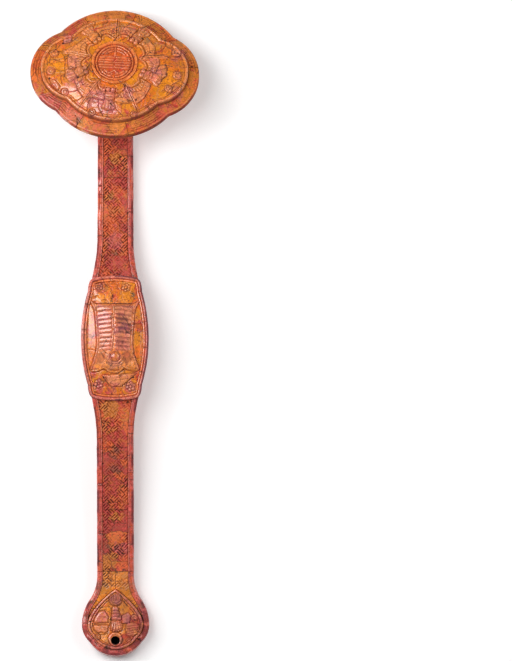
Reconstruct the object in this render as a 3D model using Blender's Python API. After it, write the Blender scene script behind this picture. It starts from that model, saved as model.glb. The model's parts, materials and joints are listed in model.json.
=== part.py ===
"""Ruyi scepter, pieced together from carved slabs of realgar over a wooden core.

The scepter lies face up. +Y runs from the tassel end to the head, +X is its right-hand side,
+Z is up, and it rests on z = 0 with the origin below the middle of its outline.
Every length is in metres. "Depth" is measured from the middle of the shaft's thickness,
square to the curved line that the shaft follows, and "height" from the back of the head.
"""

import math

import bmesh
import bpy
import numpy as np
from mathutils import Matrix, Vector

# Whole scepter
LENGTH = 0.453
GLUE_LINE = 0.0003

# Shaft
SHAFT_WIDTH = 0.0260
NECK_WIDTH = 0.0246
SHAFT_DEPTH = 0.0112
BORDER_WIDTH = 0.0040
BORDER_ROUND = 0.0016
BACK_CHAMFER = 0.0010
FIELD_DROP = 0.0007
FIELD_SLAB = 0.0022
BACK_SLAB = 0.0020
STATION = 0.0085

# Side view: the shaft touches the table twice and arches between, then climbs to the head
TIP_LIFT = 0.0030
TIP_SLOPE = -0.15
REST_INSET = 0.034
CREST_HEIGHT = 0.0170
NECK_REACH = 0.076
SEAT_HEIGHT = 0.0290
SEAT_SLOPE = 0.64
REST_RUB = 0.0003
REST_LAND = 0.0140

# Joints in the shaft's covering, as numbers of pieces
UPPER_FIELD_PIECES = 2
UPPER_BORDER_PIECES = 3
UPPER_BACK_PIECES = 2
LOWER_FIELD_PIECES = 3
LOWER_BORDER_PIECES = 4
LOWER_BACK_PIECES = 3
BORDER_STAGGER = 0.009
TIP_FLAT = 0.0020

# Middle plaque
PLAQUE_Y = -0.0037
PLAQUE_WIDTH = 0.0474
PLAQUE_LENGTH = 0.0852
PLAQUE_NOTCH_X = 0.0190
PLAQUE_NOTCH_Y = 0.0318
PLAQUE_SHOULDER = 0.0190
PLAQUE_END_RADIUS = 0.0640
PLAQUE_CORNER = 0.0046
PLAQUE_FILLET = 0.0012
PLAQUE_FLARE = 0.038
FRAME_WIDTH = 0.0038
FRAME_RISE = 0.0030
FRAME_BEAD = 0.0024
PANEL_RISE = 0.0016
PANEL_CROWN = 0.0022

# Ribbed emblem on the plaque
EMBLEM_TOP = 0.0228
EMBLEM_BOTTOM = -0.0212
EMBLEM_WAIST_Y = 0.0070
EMBLEM_TOP_WIDTH = 0.0284
EMBLEM_WAIST_WIDTH = 0.0236
EMBLEM_BOTTOM_WIDTH = 0.0330
EMBLEM_RISE = 0.0008
EMBLEM_EDGE = 0.0012
RIB_COUNT = 7
RIB_PITCH = 0.0037
RIB_WIDTH = 0.0019
RIB_RISE = 0.0008
SPINE_WIDTH = 0.0022
BOSS_Y = -0.0138
BOSS_RADIUS = 0.0044
BOSS_RISE = 0.0014

# Tassel end
TERMINAL_WIDTH = 0.0474
TERMINAL_LENGTH = 0.0600
WIDEST_INSET = 0.0219
SHOULDER_RADIUS = 0.0320
FLARE_START = 0.0033
LOBE_RADIUS = 0.0160
BOTTOM_RADIUS = 0.0217
OGEE_APEX = 0.0477
OGEE_RISE = 0.0016
OGEE_BEAD_RISE = 0.0009
HOLE_RADIUS = 0.0031
HOLE_INSET = 0.0114
COLLAR_WIDTH = 0.0016
COLLAR_RISE = 0.0005

# Head outline and section
HEAD_WIDTH = 0.1180
HEAD_LENGTH = 0.0966
HEAD_NOTCH_X = 0.0395
HEAD_NOTCH_Y = 0.0295
HEAD_FILLET = 0.0050
PANEL_FILLET = 0.0030
HEAD_TILT = math.radians(22.0)
HEAD_TURN = math.radians(-3.0)
RIM_SIDE = 0.0074
RIM_END = 0.0094
RIM_EDGE = 0.0056
RIM_SLOPE = 0.0014
RIM_ROUND = 0.0014
HEAD_STONE = 0.0022
HEAD_BACK_SLAB = 0.0018
STEP_RISE = 0.0042
BEAD_WIDTH = 0.0020
BEAD_RISE = 0.0008
DOME_RISE = 0.0045
MEDALLION_RADIUS = 0.0161
MEDALLION_OFFSET = 0.0030
MEDALLION_RING = 0.0022
MEDALLION_RISE = 0.0010
MEDALLION_BARS = 7
BAR_PITCH = 0.0027
BAR_WIDTH = 0.0013
BAR_RISE = 0.0008

# Bats in low relief. A wing's edges are curves of (share of its spread, share of the bat's length)
BAT_GAP = 0.0022
BAT_LENGTH = 0.0155
BAT_BODY_WIDTH = 0.0076
BAT_RELIEF = 0.0010
HEAD_WING = {
    "lead": ((0.20, 0.22), (0.85, 0.55), (0.92, 0.00)),
    "trail": ((0.12, 0.75), (1.12, 1.00), (0.92, 0.05)),
}
TERMINAL_BAT_LENGTH = 0.0170
TERMINAL_BAT_SPREAD = 78
TERMINAL_WING = {
    "lead": ((0.18, 0.18), (0.60, 0.30), (0.90, 0.30)),
    "trail": ((0.12, 0.85), (0.85, 1.05), (0.92, 0.36)),
}
WING_STEPS = 8
WING_SHARE = 0.96
SCALLOPS = 3
SCALLOP_SHARE = 0.09
RELIEF_SINK = 0.0006

# Dowels that hold the head
DOWEL_RADIUS = 0.0017
DOWEL_SPACING = 0.0110
DOWEL_IN_SHAFT = 0.0120
DOWEL_IN_HEAD = 0.0080

# Where the rim and the dome are jointed, as directions from the head's middle in degrees
RIM_JOINTS = (8, 33, 72, 122, 161, 200, 239, 282, 328)
DOME_JOINTS = (18, 90, 168, 230, 302)
BAT_DIRECTIONS = (54, 129, 199, 266, 340)

TIP_Y = -LENGTH / 2
REST_Y = TIP_Y + REST_INSET
HEAD_Y = LENGTH / 2 - HEAD_LENGTH / 2 * math.cos(HEAD_TILT) - RIM_EDGE * math.sin(HEAD_TILT)
NECK_Y = HEAD_Y - NECK_REACH
TERMINAL_TOP = TIP_Y + TERMINAL_LENGTH
WIDEST_Y = TIP_Y + WIDEST_INSET
HOLE_Y = TIP_Y + HOLE_INSET
FRONT = SHAFT_DEPTH / 2
BACK = -SHAFT_DEPTH / 2
FIELD_TOP = FRONT - FIELD_DROP
BED = FIELD_TOP - FIELD_SLAB
CORE_INSET = BORDER_WIDTH + GLUE_LINE
RIM_TOP = RIM_EDGE + RIM_SLOPE
FIELD_EDGE = RIM_TOP + STEP_RISE
DOME_TOP = FIELD_EDGE + DOME_RISE


# Materials

def material(name, colour, roughness):
    """A plain material with the colour and shine seen in the photograph."""
    made = bpy.data.materials.new(name)
    made.use_nodes = True
    shader = made.node_tree.nodes["Principled BSDF"]
    shader.inputs["Base Color"].default_value = (*colour, 1.0)
    shader.inputs["Roughness"].default_value = roughness
    shader.inputs["Metallic"].default_value = 0.0
    return made


def make_materials():
    """The materials, keyed by what they cover."""
    return {
        "ochre": material("realgar_ochre", (0.62, 0.24, 0.05), 0.35),
        "orange": material("realgar_orange", (0.68, 0.19, 0.06), 0.32),
        "red": material("realgar_red", (0.60, 0.11, 0.06), 0.30),
        "wood": material("core_wood", (0.16, 0.08, 0.04), 0.70),
        "dowel": material("dowel_wood", (0.40, 0.26, 0.13), 0.65),
    }


# Mesh helpers

def mesh_object(name, vertices, faces, finish):
    """An object of triangles whose faces point outwards, shaded smooth between its sharp edges."""
    mesh = bpy.data.meshes.new(name)
    shape = bmesh.new()
    corners = [shape.verts.new(point) for point in vertices]
    for face in faces:
        shape.faces.new([corners[index] for index in face])
    bmesh.ops.triangulate(shape, faces=shape.faces[:], ngon_method="EAR_CLIP")
    bmesh.ops.recalc_face_normals(shape, faces=shape.faces[:])
    if shape.calc_volume(signed=True) < 0.0:
        bmesh.ops.reverse_faces(shape, faces=shape.faces[:])
    shape.to_mesh(mesh)
    shape.free()
    mesh.materials.append(finish)
    mesh.shade_smooth()
    mesh.set_sharp_from_angle(angle=math.radians(35))
    made = bpy.data.objects.new(name, mesh)
    bpy.context.scene.collection.objects.link(made)
    return made


def loft(name, sections, finish):
    """A closed solid through sections that hold the same number of points, capped at both ends."""
    count = len(sections[0])
    vertices = [point for section in sections for point in section]
    faces = [list(range(count)), list(range(len(vertices) - count, len(vertices)))]
    for row in range(len(sections) - 1):
        for index in range(count):
            here = row * count + index
            beside = row * count + (index + 1) % count
            faces.append([here, beside, beside + count, here + count])
    return mesh_object(name, vertices, faces, finish)


def helper(made):
    """Marks an object that only cuts or joins others."""
    made.hide_render = True
    made.display_type = "WIRE"
    return made


def boolean(target, tool, operation):
    """Cuts a tool from a piece, or joins it to the piece."""
    modifier = target.modifiers.new(f"{operation.lower()}_{tool.name}", "BOOLEAN")
    modifier.object = tool
    modifier.operation = operation
    modifier.solver = "EXACT"


def rod(name, start, end, radius, sides, finish):
    """A round rod between two points."""
    axis = (end - start).normalized()
    across = axis.orthogonal().normalized()
    upright = axis.cross(across)
    turns = [2 * math.pi * index / sides for index in range(sides)]
    ring = [radius * (math.cos(turn) * across + math.sin(turn) * upright) for turn in turns]
    return loft(name, [[start + point for point in ring], [end + point for point in ring]], finish)


# Outlines

def arc(centre, radius, start, end, steps):
    """Points of an arc between two angles, both ends included."""
    angles = np.linspace(start, end, steps + 1)
    return [Vector((centre.x + radius * math.cos(a), centre.y + radius * math.sin(a))) for a in angles]


def direction(vector):
    """The angle of a vector in the plan."""
    return math.atan2(vector.y, vector.x)


def crossing(centre_a, radius_a, centre_b, radius_b, hand):
    """Where two circles cross, on the left (1) or the right (-1) of the way from a to b."""
    gap = centre_b - centre_a
    along = (gap.length_squared + radius_a**2 - radius_b**2) / (2 * gap.length)
    aside = math.sqrt(max(radius_a**2 - along**2, 0.0))
    unit = gap.normalized()
    return centre_a + unit * along + Vector((-unit.y, unit.x)) * aside * hand


def chord_radius(rise, reach):
    """Radius of an arc that starts square to an axis and is rise away from it after reach."""
    return (rise**2 + reach**2) / (2 * rise)


class Quartered:
    """An outline whose four quarters are alike. Each quarter is a chain of arcs, from the side to
    the end, and every two neighbours meet in a rounded notch or a rounded corner."""

    def __init__(self, arcs, joins):
        self.arcs = arcs
        self.joins = joins

    def points(self, insets, rounds):
        """The outline with each arc moved inwards by its inset, and these radii where arcs meet."""
        radii = [radius - inset for (_, radius, _), inset in zip(self.arcs, insets)]
        quarter = []
        turn = 0.0
        for index, (centre, _, steps) in enumerate(self.arcs[:-1]):
            after = self.arcs[index + 1][0]
            kind, join_steps = self.joins[index]
            fillet = rounds[index]
            hand = -1 if kind == "notch" else 1
            grown = [radius - hand * fillet for radius in radii[index:index + 2]]
            middle = crossing(centre, grown[0], after, grown[1], hand)
            end, onward = direction(middle - centre), direction(middle - after)
            away = math.pi if kind == "notch" else 0.0
            quarter += arc(centre, radii[index], turn, end, steps)[bool(quarter):]
            quarter += arc(middle, fillet, end + away, onward + away, join_steps)[1:]
            turn = onward
        centre, _, steps = self.arcs[-1]
        quarter += arc(centre, radii[-1], turn, math.pi / 2, steps)[1:]
        half = quarter + [Vector((-p.x, p.y)) for p in reversed(quarter[:-1])]
        return half + [Vector((p.x, -p.y)) for p in reversed(half[1:-1])]

    def half_width(self, along):
        """Half the width between the two sides, this far from the middle."""
        centre, radius, _ = self.arcs[0]
        return centre.x + math.sqrt(max(radius**2 - along**2, 0.0))


def nearest(points, degrees):
    """The index of the outline point that lies closest to a direction."""
    wanted = Vector((math.cos(math.radians(degrees)), math.sin(math.radians(degrees))))
    return max(range(len(points)), key=lambda index: points[index].normalized().dot(wanted))


def head_shape():
    """The head's outline: two side lobes and two end lobes that meet in four notches."""
    side = chord_radius(HEAD_WIDTH / 2 - HEAD_NOTCH_X, HEAD_NOTCH_Y)
    end = chord_radius(HEAD_LENGTH / 2 - HEAD_NOTCH_Y, HEAD_NOTCH_X)
    arcs = ((Vector((HEAD_WIDTH / 2 - side, 0.0)), side, 5), (Vector((0.0, HEAD_LENGTH / 2 - end)), end, 7))
    return Quartered(arcs, (("notch", 3),))


def plaque_shape():
    """The plaque's outline: long sides, a small notch, and square ends with rounded corners."""
    side = chord_radius(PLAQUE_WIDTH / 2 - PLAQUE_NOTCH_X, PLAQUE_NOTCH_Y)
    arcs = (
        (Vector((PLAQUE_WIDTH / 2 - side, 0.0)), side, 4),
        (Vector((PLAQUE_NOTCH_X - PLAQUE_SHOULDER, PLAQUE_NOTCH_Y)), PLAQUE_SHOULDER, 1),
        (Vector((0.0, PLAQUE_LENGTH / 2 - PLAQUE_END_RADIUS)), PLAQUE_END_RADIUS, 3),
    )
    return Quartered(arcs, (("notch", 2), ("corner", 3)))


HEAD = head_shape()
PLAQUE = plaque_shape()


def plaque_outline(inset):
    """The plaque's outline moved inwards."""
    corner = max(PLAQUE_CORNER - inset, PLAQUE_FILLET)
    return PLAQUE.points([inset] * 3, [PLAQUE_FILLET + max(inset, 0.0), corner])


BOTTOM_STEPS = 4


def terminal_side(inset):
    """Right-hand outline of the tassel end, moved inwards, from the shaft down to the tip. A hollow
    flare leaves the shaft below the end's top and runs smoothly into the rounded shoulder."""
    shaft = SHAFT_WIDTH / 2
    shoulder = Vector((TERMINAL_WIDTH / 2 - SHOULDER_RADIUS, WIDEST_Y))
    lobe = Vector((TERMINAL_WIDTH / 2 - LOBE_RADIUS, WIDEST_Y))
    bottom = Vector((0.0, TIP_Y + BOTTOM_RADIUS))
    rise = TERMINAL_LENGTH - FLARE_START - WIDEST_INSET
    spread = shaft - shoulder.x
    flare_radius = (spread**2 + rise**2 - SHOULDER_RADIUS**2) / (2 * (SHOULDER_RADIUS - spread))
    flare = Vector((shaft + flare_radius, WIDEST_Y + rise))
    turn = direction(flare - shoulder)
    cusp = crossing(lobe, LOBE_RADIUS - inset, bottom, BOTTOM_RADIUS - inset, 1)
    side = [Vector((shaft - inset, TERMINAL_TOP))]
    side += arc(flare, flare_radius + inset, math.pi, math.pi + turn, 4)
    side += arc(shoulder, SHOULDER_RADIUS - inset, turn, 0.0, 4)[1:]
    side += arc(lobe, LOBE_RADIUS - inset, 0.0, direction(cusp - lobe), 4)[1:]
    side += arc(bottom, BOTTOM_RADIUS - inset, direction(cusp - bottom), -math.pi / 2, BOTTOM_STEPS)[1:]
    return side


def body_half_width(y, inset):
    """Half the width of the body at y, moved inwards: shaft, swelling plaque and tassel end."""
    if y < TERMINAL_TOP:
        side = terminal_side(inset)[::-1]
        return float(np.interp(y, [p.y for p in side], [p.x for p in side]))
    away = abs(y - PLAQUE_Y)
    if away < PLAQUE_NOTCH_Y:
        return PLAQUE.half_width(away) - inset
    shaft = SHAFT_WIDTH / 2
    if y > PLAQUE_Y:
        share = (y - PLAQUE_Y) / (HEAD_Y - PLAQUE_Y)
        shaft += (NECK_WIDTH - SHAFT_WIDTH) / 2 * share
    swell = max(1.0 - (away - PLAQUE_NOTCH_Y) / PLAQUE_FLARE, 0.0) ** 2
    return shaft + (PLAQUE_NOTCH_X - shaft) * swell - inset


def stations(low, high, inset):
    """Places at which a piece from low to high has its sections, in step with its neighbours."""
    count = math.ceil((HEAD_Y - TERMINAL_TOP) / STATION)
    grid = [TERMINAL_TOP + STATION * index for index in range(1, count + 1)]
    grid += [point.y for point in terminal_side(inset)]
    grid += [rest + side * REST_LAND / 2 for rest in (REST_Y, NECK_Y) for side in (-1, 1)]
    clear = STATION / 8
    return [low, *sorted(y for y in grid if low + clear < y < high - clear), high]


def terminal_end(inset):
    """Where a slab that is set in from the edge is squared off at the tip."""
    tip, before = terminal_side(inset)[:-3:-1]
    return tip.y + (before.y - tip.y) * TIP_FLAT / 2 / before.x


# Side view

def spine(y):
    """Height and slope of the line midway through the shaft's thickness."""
    touch = SHAFT_DEPTH / 2 - REST_RUB
    knots = (
        (TIP_Y, SHAFT_DEPTH / 2 + TIP_LIFT, TIP_SLOPE),
        (REST_Y, touch, 0.0),
        (PLAQUE_Y, SHAFT_DEPTH / 2 + CREST_HEIGHT, 0.0),
        (NECK_Y, touch, 0.0),
        (HEAD_Y, SEAT_HEIGHT, SEAT_SLOPE),
    )
    if y >= HEAD_Y:
        return SEAT_HEIGHT + SEAT_SLOPE * (y - HEAD_Y), SEAT_SLOPE
    if y <= TIP_Y:
        return knots[0][1] + TIP_SLOPE * (y - TIP_Y), TIP_SLOPE
    after = next(index for index, knot in enumerate(knots) if y < knot[0])
    (y0, z0, s0), (y1, z1, s1) = knots[after - 1], knots[after]
    span = y1 - y0
    t = (y - y0) / span
    height = (
        z0 * (2 * t**3 - 3 * t**2 + 1)
        + span * s0 * (t**3 - 2 * t**2 + t)
        + z1 * (3 * t**2 - 2 * t**3)
        + span * s1 * (t**3 - t**2)
    )
    slope = (
        (z0 - z1) * (6 * t**2 - 6 * t) / span
        + s0 * (3 * t**2 - 4 * t + 1)
        + s1 * (3 * t**2 - 2 * t)
    )
    return height, slope


def bend(x, y, depth):
    """The place of a point of the shaft, with the underside rubbed flat where it rests."""
    height, slope = spine(y)
    across = 1.0 / math.hypot(1.0, slope)
    return Vector((x, y - depth * slope * across, max(height + depth * across, 0.0)))


def flat(x, y, height):
    """The place of a point of the head in the head's own frame."""
    return Vector((x, y, height))


# Pieces made from outlines

def ladder(name, low, high, inset, bottom, top, finish):
    """A slab across the whole body between two depths."""
    rows = []
    for y in stations(low, high, inset):
        half = body_half_width(y, inset)
        rows.append([bend(x, y, d) for x, d in ((-half, bottom), (half, bottom), (half, top), (-half, top))])
    return loft(name, rows, finish)


def border(name, side, low, high, shape, finish):
    """A strip along one edge of the body. shape lists (distance in from the edge, depth)."""
    rows = []
    for y in stations(low, high, 0.0):
        outer = body_half_width(y, 0.0)
        rows.append([bend(side * (outer - inward), y, depth) for inward, depth in shape])
    return loft(name, rows, finish)


def moulding(name, outer, inner, first, last, shape, place, finish):
    """A piece of moulding between two matching outlines, from one outline point to another.
    shape lists (share of the way from outer to inner, further distance inwards, height)."""
    count = len(outer)
    sections = []
    for index in range(first, last + 1):
        start, end = outer[index % count], inner[index % count]
        inward = (end - start).normalized()
        onward = Vector((inward.y, -inward.x))
        shift = GLUE_LINE / 2 * ((index == first) - (index == last)) * onward
        section = []
        for share, further, height in shape:
            spot = start.lerp(end, share) + inward * further + shift
            section.append(place(spot.x, spot.y, height))
        sections.append(section)
    return loft(name, sections, finish)


RING_SHARES = (0.82, 0.6, 0.35, 0.1)


def underside(depth):
    """Rings for the bottom of a cushion, from the middle out, so that it follows the shaft's line."""
    return [(share, depth) for share in (0.2, 0.6, 1.0)]


def cushion(name, outline, centre, levels, place, finish):
    """A solid of closed rings. levels lists (share of the outline's size about centre, height)."""
    rings = []
    for share, height in levels:
        spots = [centre.lerp(point, share) for point in outline]
        rings.append([place(spot.x, spot.y, height) for spot in spots])
    return loft(name, rings, finish)


def runs(low, high, count, shift=0.0):
    """Ends of equal pieces with glue lines between them. Inner joints may be shifted."""
    edges = [low + (high - low) * index / count for index in range(count + 1)]
    edges[1:-1] = [edge + shift for edge in edges[1:-1]]
    return [
        (edge + (GLUE_LINE / 2 if index else 0.0), after - (GLUE_LINE / 2 if index < count - 1 else 0.0))
        for index, (edge, after) in enumerate(zip(edges[:-1], edges[1:]))
    ]


BORDER_SHAPE = (
    (BORDER_WIDTH, BACK),
    (BACK_CHAMFER, BACK),
    (0.0, BACK + BACK_CHAMFER),
    (0.0, FRONT - BORDER_ROUND),
    (BORDER_ROUND * 0.3, FRONT - BORDER_ROUND * 0.3),
    (BORDER_ROUND, FRONT),
    (BORDER_WIDTH, FRONT),
)


# Shaft

def make_core(finish):
    """The carved timber that runs through the whole scepter, up to the head."""
    end = HEAD_Y + SHAFT_DEPTH
    return ladder("shaft_core", terminal_end(CORE_INSET), end, CORE_INSET,
                  BACK + BACK_SLAB + GLUE_LINE, BED - GLUE_LINE, finish)


def make_shaft_covering(finishes):
    """Front slabs, edge strips and back slabs of the upper and the lower shaft.
    Returns the pieces that reach the plaque and those that reach the head."""
    at_plaque, at_head = [], []
    upper = (PLAQUE_Y + PLAQUE_NOTCH_Y + GLUE_LINE / 2, HEAD_Y + SHAFT_DEPTH)
    lower = (TERMINAL_TOP + GLUE_LINE / 2, PLAQUE_Y - PLAQUE_NOTCH_Y - GLUE_LINE / 2)
    counts = {
        "upper": (upper, UPPER_FIELD_PIECES, UPPER_BORDER_PIECES, UPPER_BACK_PIECES),
        "lower": (lower, LOWER_FIELD_PIECES, LOWER_BORDER_PIECES, LOWER_BACK_PIECES),
    }
    for part, ((low, high), fields, borders, backs) in counts.items():
        pieces = {"front": [], "left": [], "right": [], "back": []}
        for index, (start, end) in enumerate(runs(low, high, fields), 1):
            pieces["front"].append(ladder(f"{part}_fret_slab_{index}", start, end, CORE_INSET, BED,
                                          FIELD_TOP, finishes["orange"]))
        for hand, side in (("left", -1), ("right", 1)):
            shift = BORDER_STAGGER / 2 * side
            for index, (start, end) in enumerate(runs(low, high, borders, shift), 1):
                pieces[hand].append(border(f"{part}_border_{hand}_{index}", side, start, end,
                                           BORDER_SHAPE, finishes["red"]))
        for index, (start, end) in enumerate(runs(low, high, backs), 1):
            pieces["back"].append(ladder(f"{part}_back_slab_{index}", start, end, CORE_INSET, BACK,
                                         BACK + BACK_SLAB, finishes["orange"]))
        near_plaque = 0 if part == "upper" else -1
        at_plaque += [pieces[key][near_plaque] for key in ("front", "left", "right")]
        if part == "upper":
            at_head += [row[-1] for row in pieces.values()]
    return at_plaque, at_head


# Middle plaque

def in_plaque(place_y):
    """A placing function for plans drawn about the middle of the plaque."""
    return lambda x, y, depth: bend(x, y + place_y, depth)


def panel_depth(x, y):
    """Depth of the plaque's crowned panel at a point of the plaque's own plan."""
    edge = plaque_outline(FRAME_WIDTH)
    turns = [direction(point) for point in edge]
    lengths = [point.length for point in edge]
    reach = np.interp(math.atan2(y, x), *zip(*sorted(zip(turns, lengths))), period=2 * math.pi)
    share = min(math.hypot(x, y) / float(reach), 1.0)
    return FRONT + PANEL_RISE + PANEL_CROWN * (1.0 - share**2)


def make_plaque_frame(finish):
    """The beaded frame, jointed at its four notches."""
    outer, inner = plaque_outline(0.0), plaque_outline(FRAME_WIDTH)
    crest = FRONT + FRAME_RISE
    ledge = FRONT + PANEL_RISE
    shape = (
        (0.0, 0.0, BED),
        (0.0, 0.0, crest - FRAME_BEAD / 2),
        (0.0, FRAME_BEAD * 0.2, crest - FRAME_BEAD * 0.15),
        (0.0, FRAME_BEAD * 0.5, crest),
        (0.0, FRAME_BEAD * 0.8, crest - FRAME_BEAD * 0.15),
        (0.0, FRAME_BEAD, ledge),
        (1.0, 0.0, ledge),
        (1.0, 0.0, BED),
    )
    notch = PLAQUE.arcs[0][2] + PLAQUE.joins[0][1] // 2
    half_turn = len(outer) // 2
    stops = {
        "right": (-notch, notch),
        "top": (notch, half_turn - notch),
        "left": (half_turn - notch, half_turn + notch),
        "bottom": (half_turn + notch, 2 * half_turn - notch),
    }
    for where, (first, last) in stops.items():
        moulding(f"plaque_frame_{where}", outer, inner, first, last, shape, in_plaque(PLAQUE_Y), finish)


def emblem_half_width(y):
    """Half the width of the waisted emblem."""
    end_y = EMBLEM_TOP if y > EMBLEM_WAIST_Y else EMBLEM_BOTTOM
    end_width = EMBLEM_TOP_WIDTH if y > EMBLEM_WAIST_Y else EMBLEM_BOTTOM_WIDTH
    share = (y - EMBLEM_WAIST_Y) / (end_y - EMBLEM_WAIST_Y)
    return (EMBLEM_WAIST_WIDTH + (end_width - EMBLEM_WAIST_WIDTH) * share**2) / 2


def make_emblem(finish):
    """The waisted emblem with ribs in two columns beside a spine, as a relief to join to the panel."""
    rows = [(EMBLEM_BOTTOM, 0.0), (EMBLEM_BOTTOM * 0.75, 0.0), (EMBLEM_BOTTOM * 0.5, 0.0)]
    top_rib = EMBLEM_TOP - EMBLEM_EDGE - RIB_WIDTH / 2
    for index in reversed(range(RIB_COUNT)):
        middle = top_rib - RIB_PITCH * index
        for offset, raised in ((-0.5, 0.0), (-0.3, 1.0), (0.3, 1.0), (0.5, 0.0)):
            rows.append((middle + offset * RIB_WIDTH, raised))
    rows.append((EMBLEM_TOP, 0.0))
    sections = []
    for y, raised in rows:
        half = emblem_half_width(y)
        rib = EMBLEM_RISE + RIB_RISE * raised
        profile = [
            (half, -RELIEF_SINK),
            (half, EMBLEM_RISE),
            (half - EMBLEM_EDGE * 0.5, EMBLEM_RISE + RIB_RISE),
            (half - EMBLEM_EDGE, EMBLEM_RISE),
            (half - EMBLEM_EDGE * 1.5, rib),
            (SPINE_WIDTH, rib),
            (SPINE_WIDTH / 2, EMBLEM_RISE + RIB_RISE),
        ]
        whole = profile + [(-x, rise) for x, rise in reversed(profile)]
        sections.append([bend(x, y + PLAQUE_Y, panel_depth(x, y) + rise) for x, rise in whole])
    return helper(loft("emblem", sections, finish))


def make_boss(finish):
    """The round boss under the ribs."""
    rings = []
    for share, rise in ((1.0, -RELIEF_SINK), (1.0, EMBLEM_RISE), (0.85, BOSS_RISE), (0.4, BOSS_RISE * 1.5)):
        ring = arc(Vector((0.0, BOSS_Y)), BOSS_RADIUS * share, 0.0, 2 * math.pi, 20)[:-1]
        rings.append([bend(p.x, p.y + PLAQUE_Y, panel_depth(0.0, BOSS_Y) + rise) for p in ring])
    return helper(loft("boss", rings, finish))


def make_plaque(finishes):
    """The raised plaque in the middle, with its side strips and back."""
    low = PLAQUE_Y - PLAQUE_NOTCH_Y + GLUE_LINE / 2
    high = PLAQUE_Y + PLAQUE_NOTCH_Y - GLUE_LINE / 2
    top = BED - GLUE_LINE
    shape = ((BORDER_WIDTH, BACK), (BACK_CHAMFER, BACK), (0.0, BACK + BACK_CHAMFER), (0.0, top),
             (BORDER_WIDTH, top))
    border("plaque_side_left", -1, low, high, shape, finishes["red"])
    border("plaque_side_right", 1, low, high, shape, finishes["red"])
    ladder("plaque_back_slab", low, high, CORE_INSET, BACK, BACK + BACK_SLAB, finishes["orange"])
    make_plaque_frame(finishes["red"])
    edge = plaque_outline(FRAME_WIDTH + GLUE_LINE)
    ledge = FRONT + PANEL_RISE
    levels = underside(BED) + [(1.0, ledge)]
    levels += [(share, ledge + PANEL_CROWN * (1.0 - share**2)) for share in RING_SHARES]
    centre = Vector((0.0, 0.0))
    panel = cushion("plaque_panel", edge, centre, levels, in_plaque(PLAQUE_Y), finishes["ochre"])
    boolean(panel, make_emblem(finishes["ochre"]), "UNION")
    boolean(panel, make_boss(finishes["red"]), "UNION")


def seat_plaque(pieces, finish):
    """Cuts the ends of the shaft's covering to the plaque's end lobes."""
    outline = plaque_outline(-GLUE_LINE)
    above = FRONT + SHAFT_DEPTH
    levels = underside(BED - GLUE_LINE) + [(1.0, above)] + [(share, above) for share in RING_SHARES]
    centre = Vector((0.0, 0.0))
    cutter = helper(cushion("plaque_seat_cutter", outline, centre, levels, in_plaque(PLAQUE_Y), finish))
    for piece in pieces:
        boolean(piece, cutter, "DIFFERENCE")


# Bats

def bezier(curve, share):
    """A point on a quadratic curve given by its start, control and end."""
    start, control, end = (Vector(point) for point in curve)
    return start.lerp(control, share).lerp(control.lerp(end, share), share)


class Bat:
    """A bat in low relief that faces a middle point and spreads its wings round it."""

    def __init__(self, middle, heading, spreads, near, length, wing):
        self.middle = middle
        self.heading = math.radians(heading)
        self.spreads = [math.radians(spread) for spread in spreads]
        self.near = near
        self.length = length
        self.wing = wing

    def spot(self, side, swing, reach):
        """The plan of a point: swing is a share of that side's spread, reach of the body's length."""
        turn = self.heading + side * swing * self.spreads[side > 0]
        radius = self.near + reach * self.length
        return self.middle + radius * Vector((math.cos(turn), math.sin(turn)))

    def wing_sections(self, side, surface, place):
        """Sections of one wing from its root to its tip, with a scalloped trailing edge."""
        sections = []
        for index in range(WING_STEPS + 1):
            share = WING_SHARE * index / WING_STEPS
            lead = bezier(self.wing["lead"], share)
            trail = bezier(self.wing["trail"], share)
            notch = SCALLOP_SHARE * abs(math.sin(SCALLOPS * math.pi * share))
            trail = trail.lerp(lead, notch)
            front, rear = self.spot(side, *lead), self.spot(side, *trail)
            rise = BAT_RELIEF * (1.0 - 0.4 * share)
            section = []
            for way, height in ((0.0, -RELIEF_SINK), (0.0, rise * 0.6), (0.25, rise), (1.0, rise * 0.5),
                                (1.0, -RELIEF_SINK)):
                plan = front.lerp(rear, way)
                section.append(place(plan.x, plan.y, surface(plan.x, plan.y) + height))
            sections.append(section)
        return sections

    def body_sections(self, surface, place):
        """Sections of the body from the head to the tail."""
        sections = []
        out = Vector((math.cos(self.heading), math.sin(self.heading)))
        aside = Vector((-out.y, out.x))
        for reach, wide, high in ((0.0, 0.3, 0.6), (0.06, 0.7, 1.5), (0.22, 0.8, 1.6), (0.34, 0.62, 1.0),
                                  (0.46, 0.9, 1.5), (0.66, 1.0, 1.4), (0.88, 0.75, 0.9), (1.0, 0.35, 0.5)):
            centre = self.middle + out * (self.near + self.length * reach)
            rise = BAT_RELIEF * high
            section = []
            for across, height in ((-1.0, -RELIEF_SINK), (-0.85, rise * 0.6), (0.0, rise),
                                   (0.85, rise * 0.6), (1.0, -RELIEF_SINK)):
                plan = centre + aside * (across * wide * BAT_BODY_WIDTH / 2)
                section.append(place(plan.x, plan.y, surface(plan.x, plan.y) + height))
            sections.append(section)
        return sections

    def join(self, host, name, surface, place, frame, finish):
        """Carves the bat on a piece whose top is given by surface."""
        shapes = {
            "left_wing": self.wing_sections(-1, surface, place),
            "right_wing": self.wing_sections(1, surface, place),
            "body": self.body_sections(surface, place),
        }
        for part, sections in shapes.items():
            tool = helper(loft(f"{name}_{part}", sections, finish))
            tool.parent = frame
            boolean(host, tool, "UNION")


# Tassel end

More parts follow.
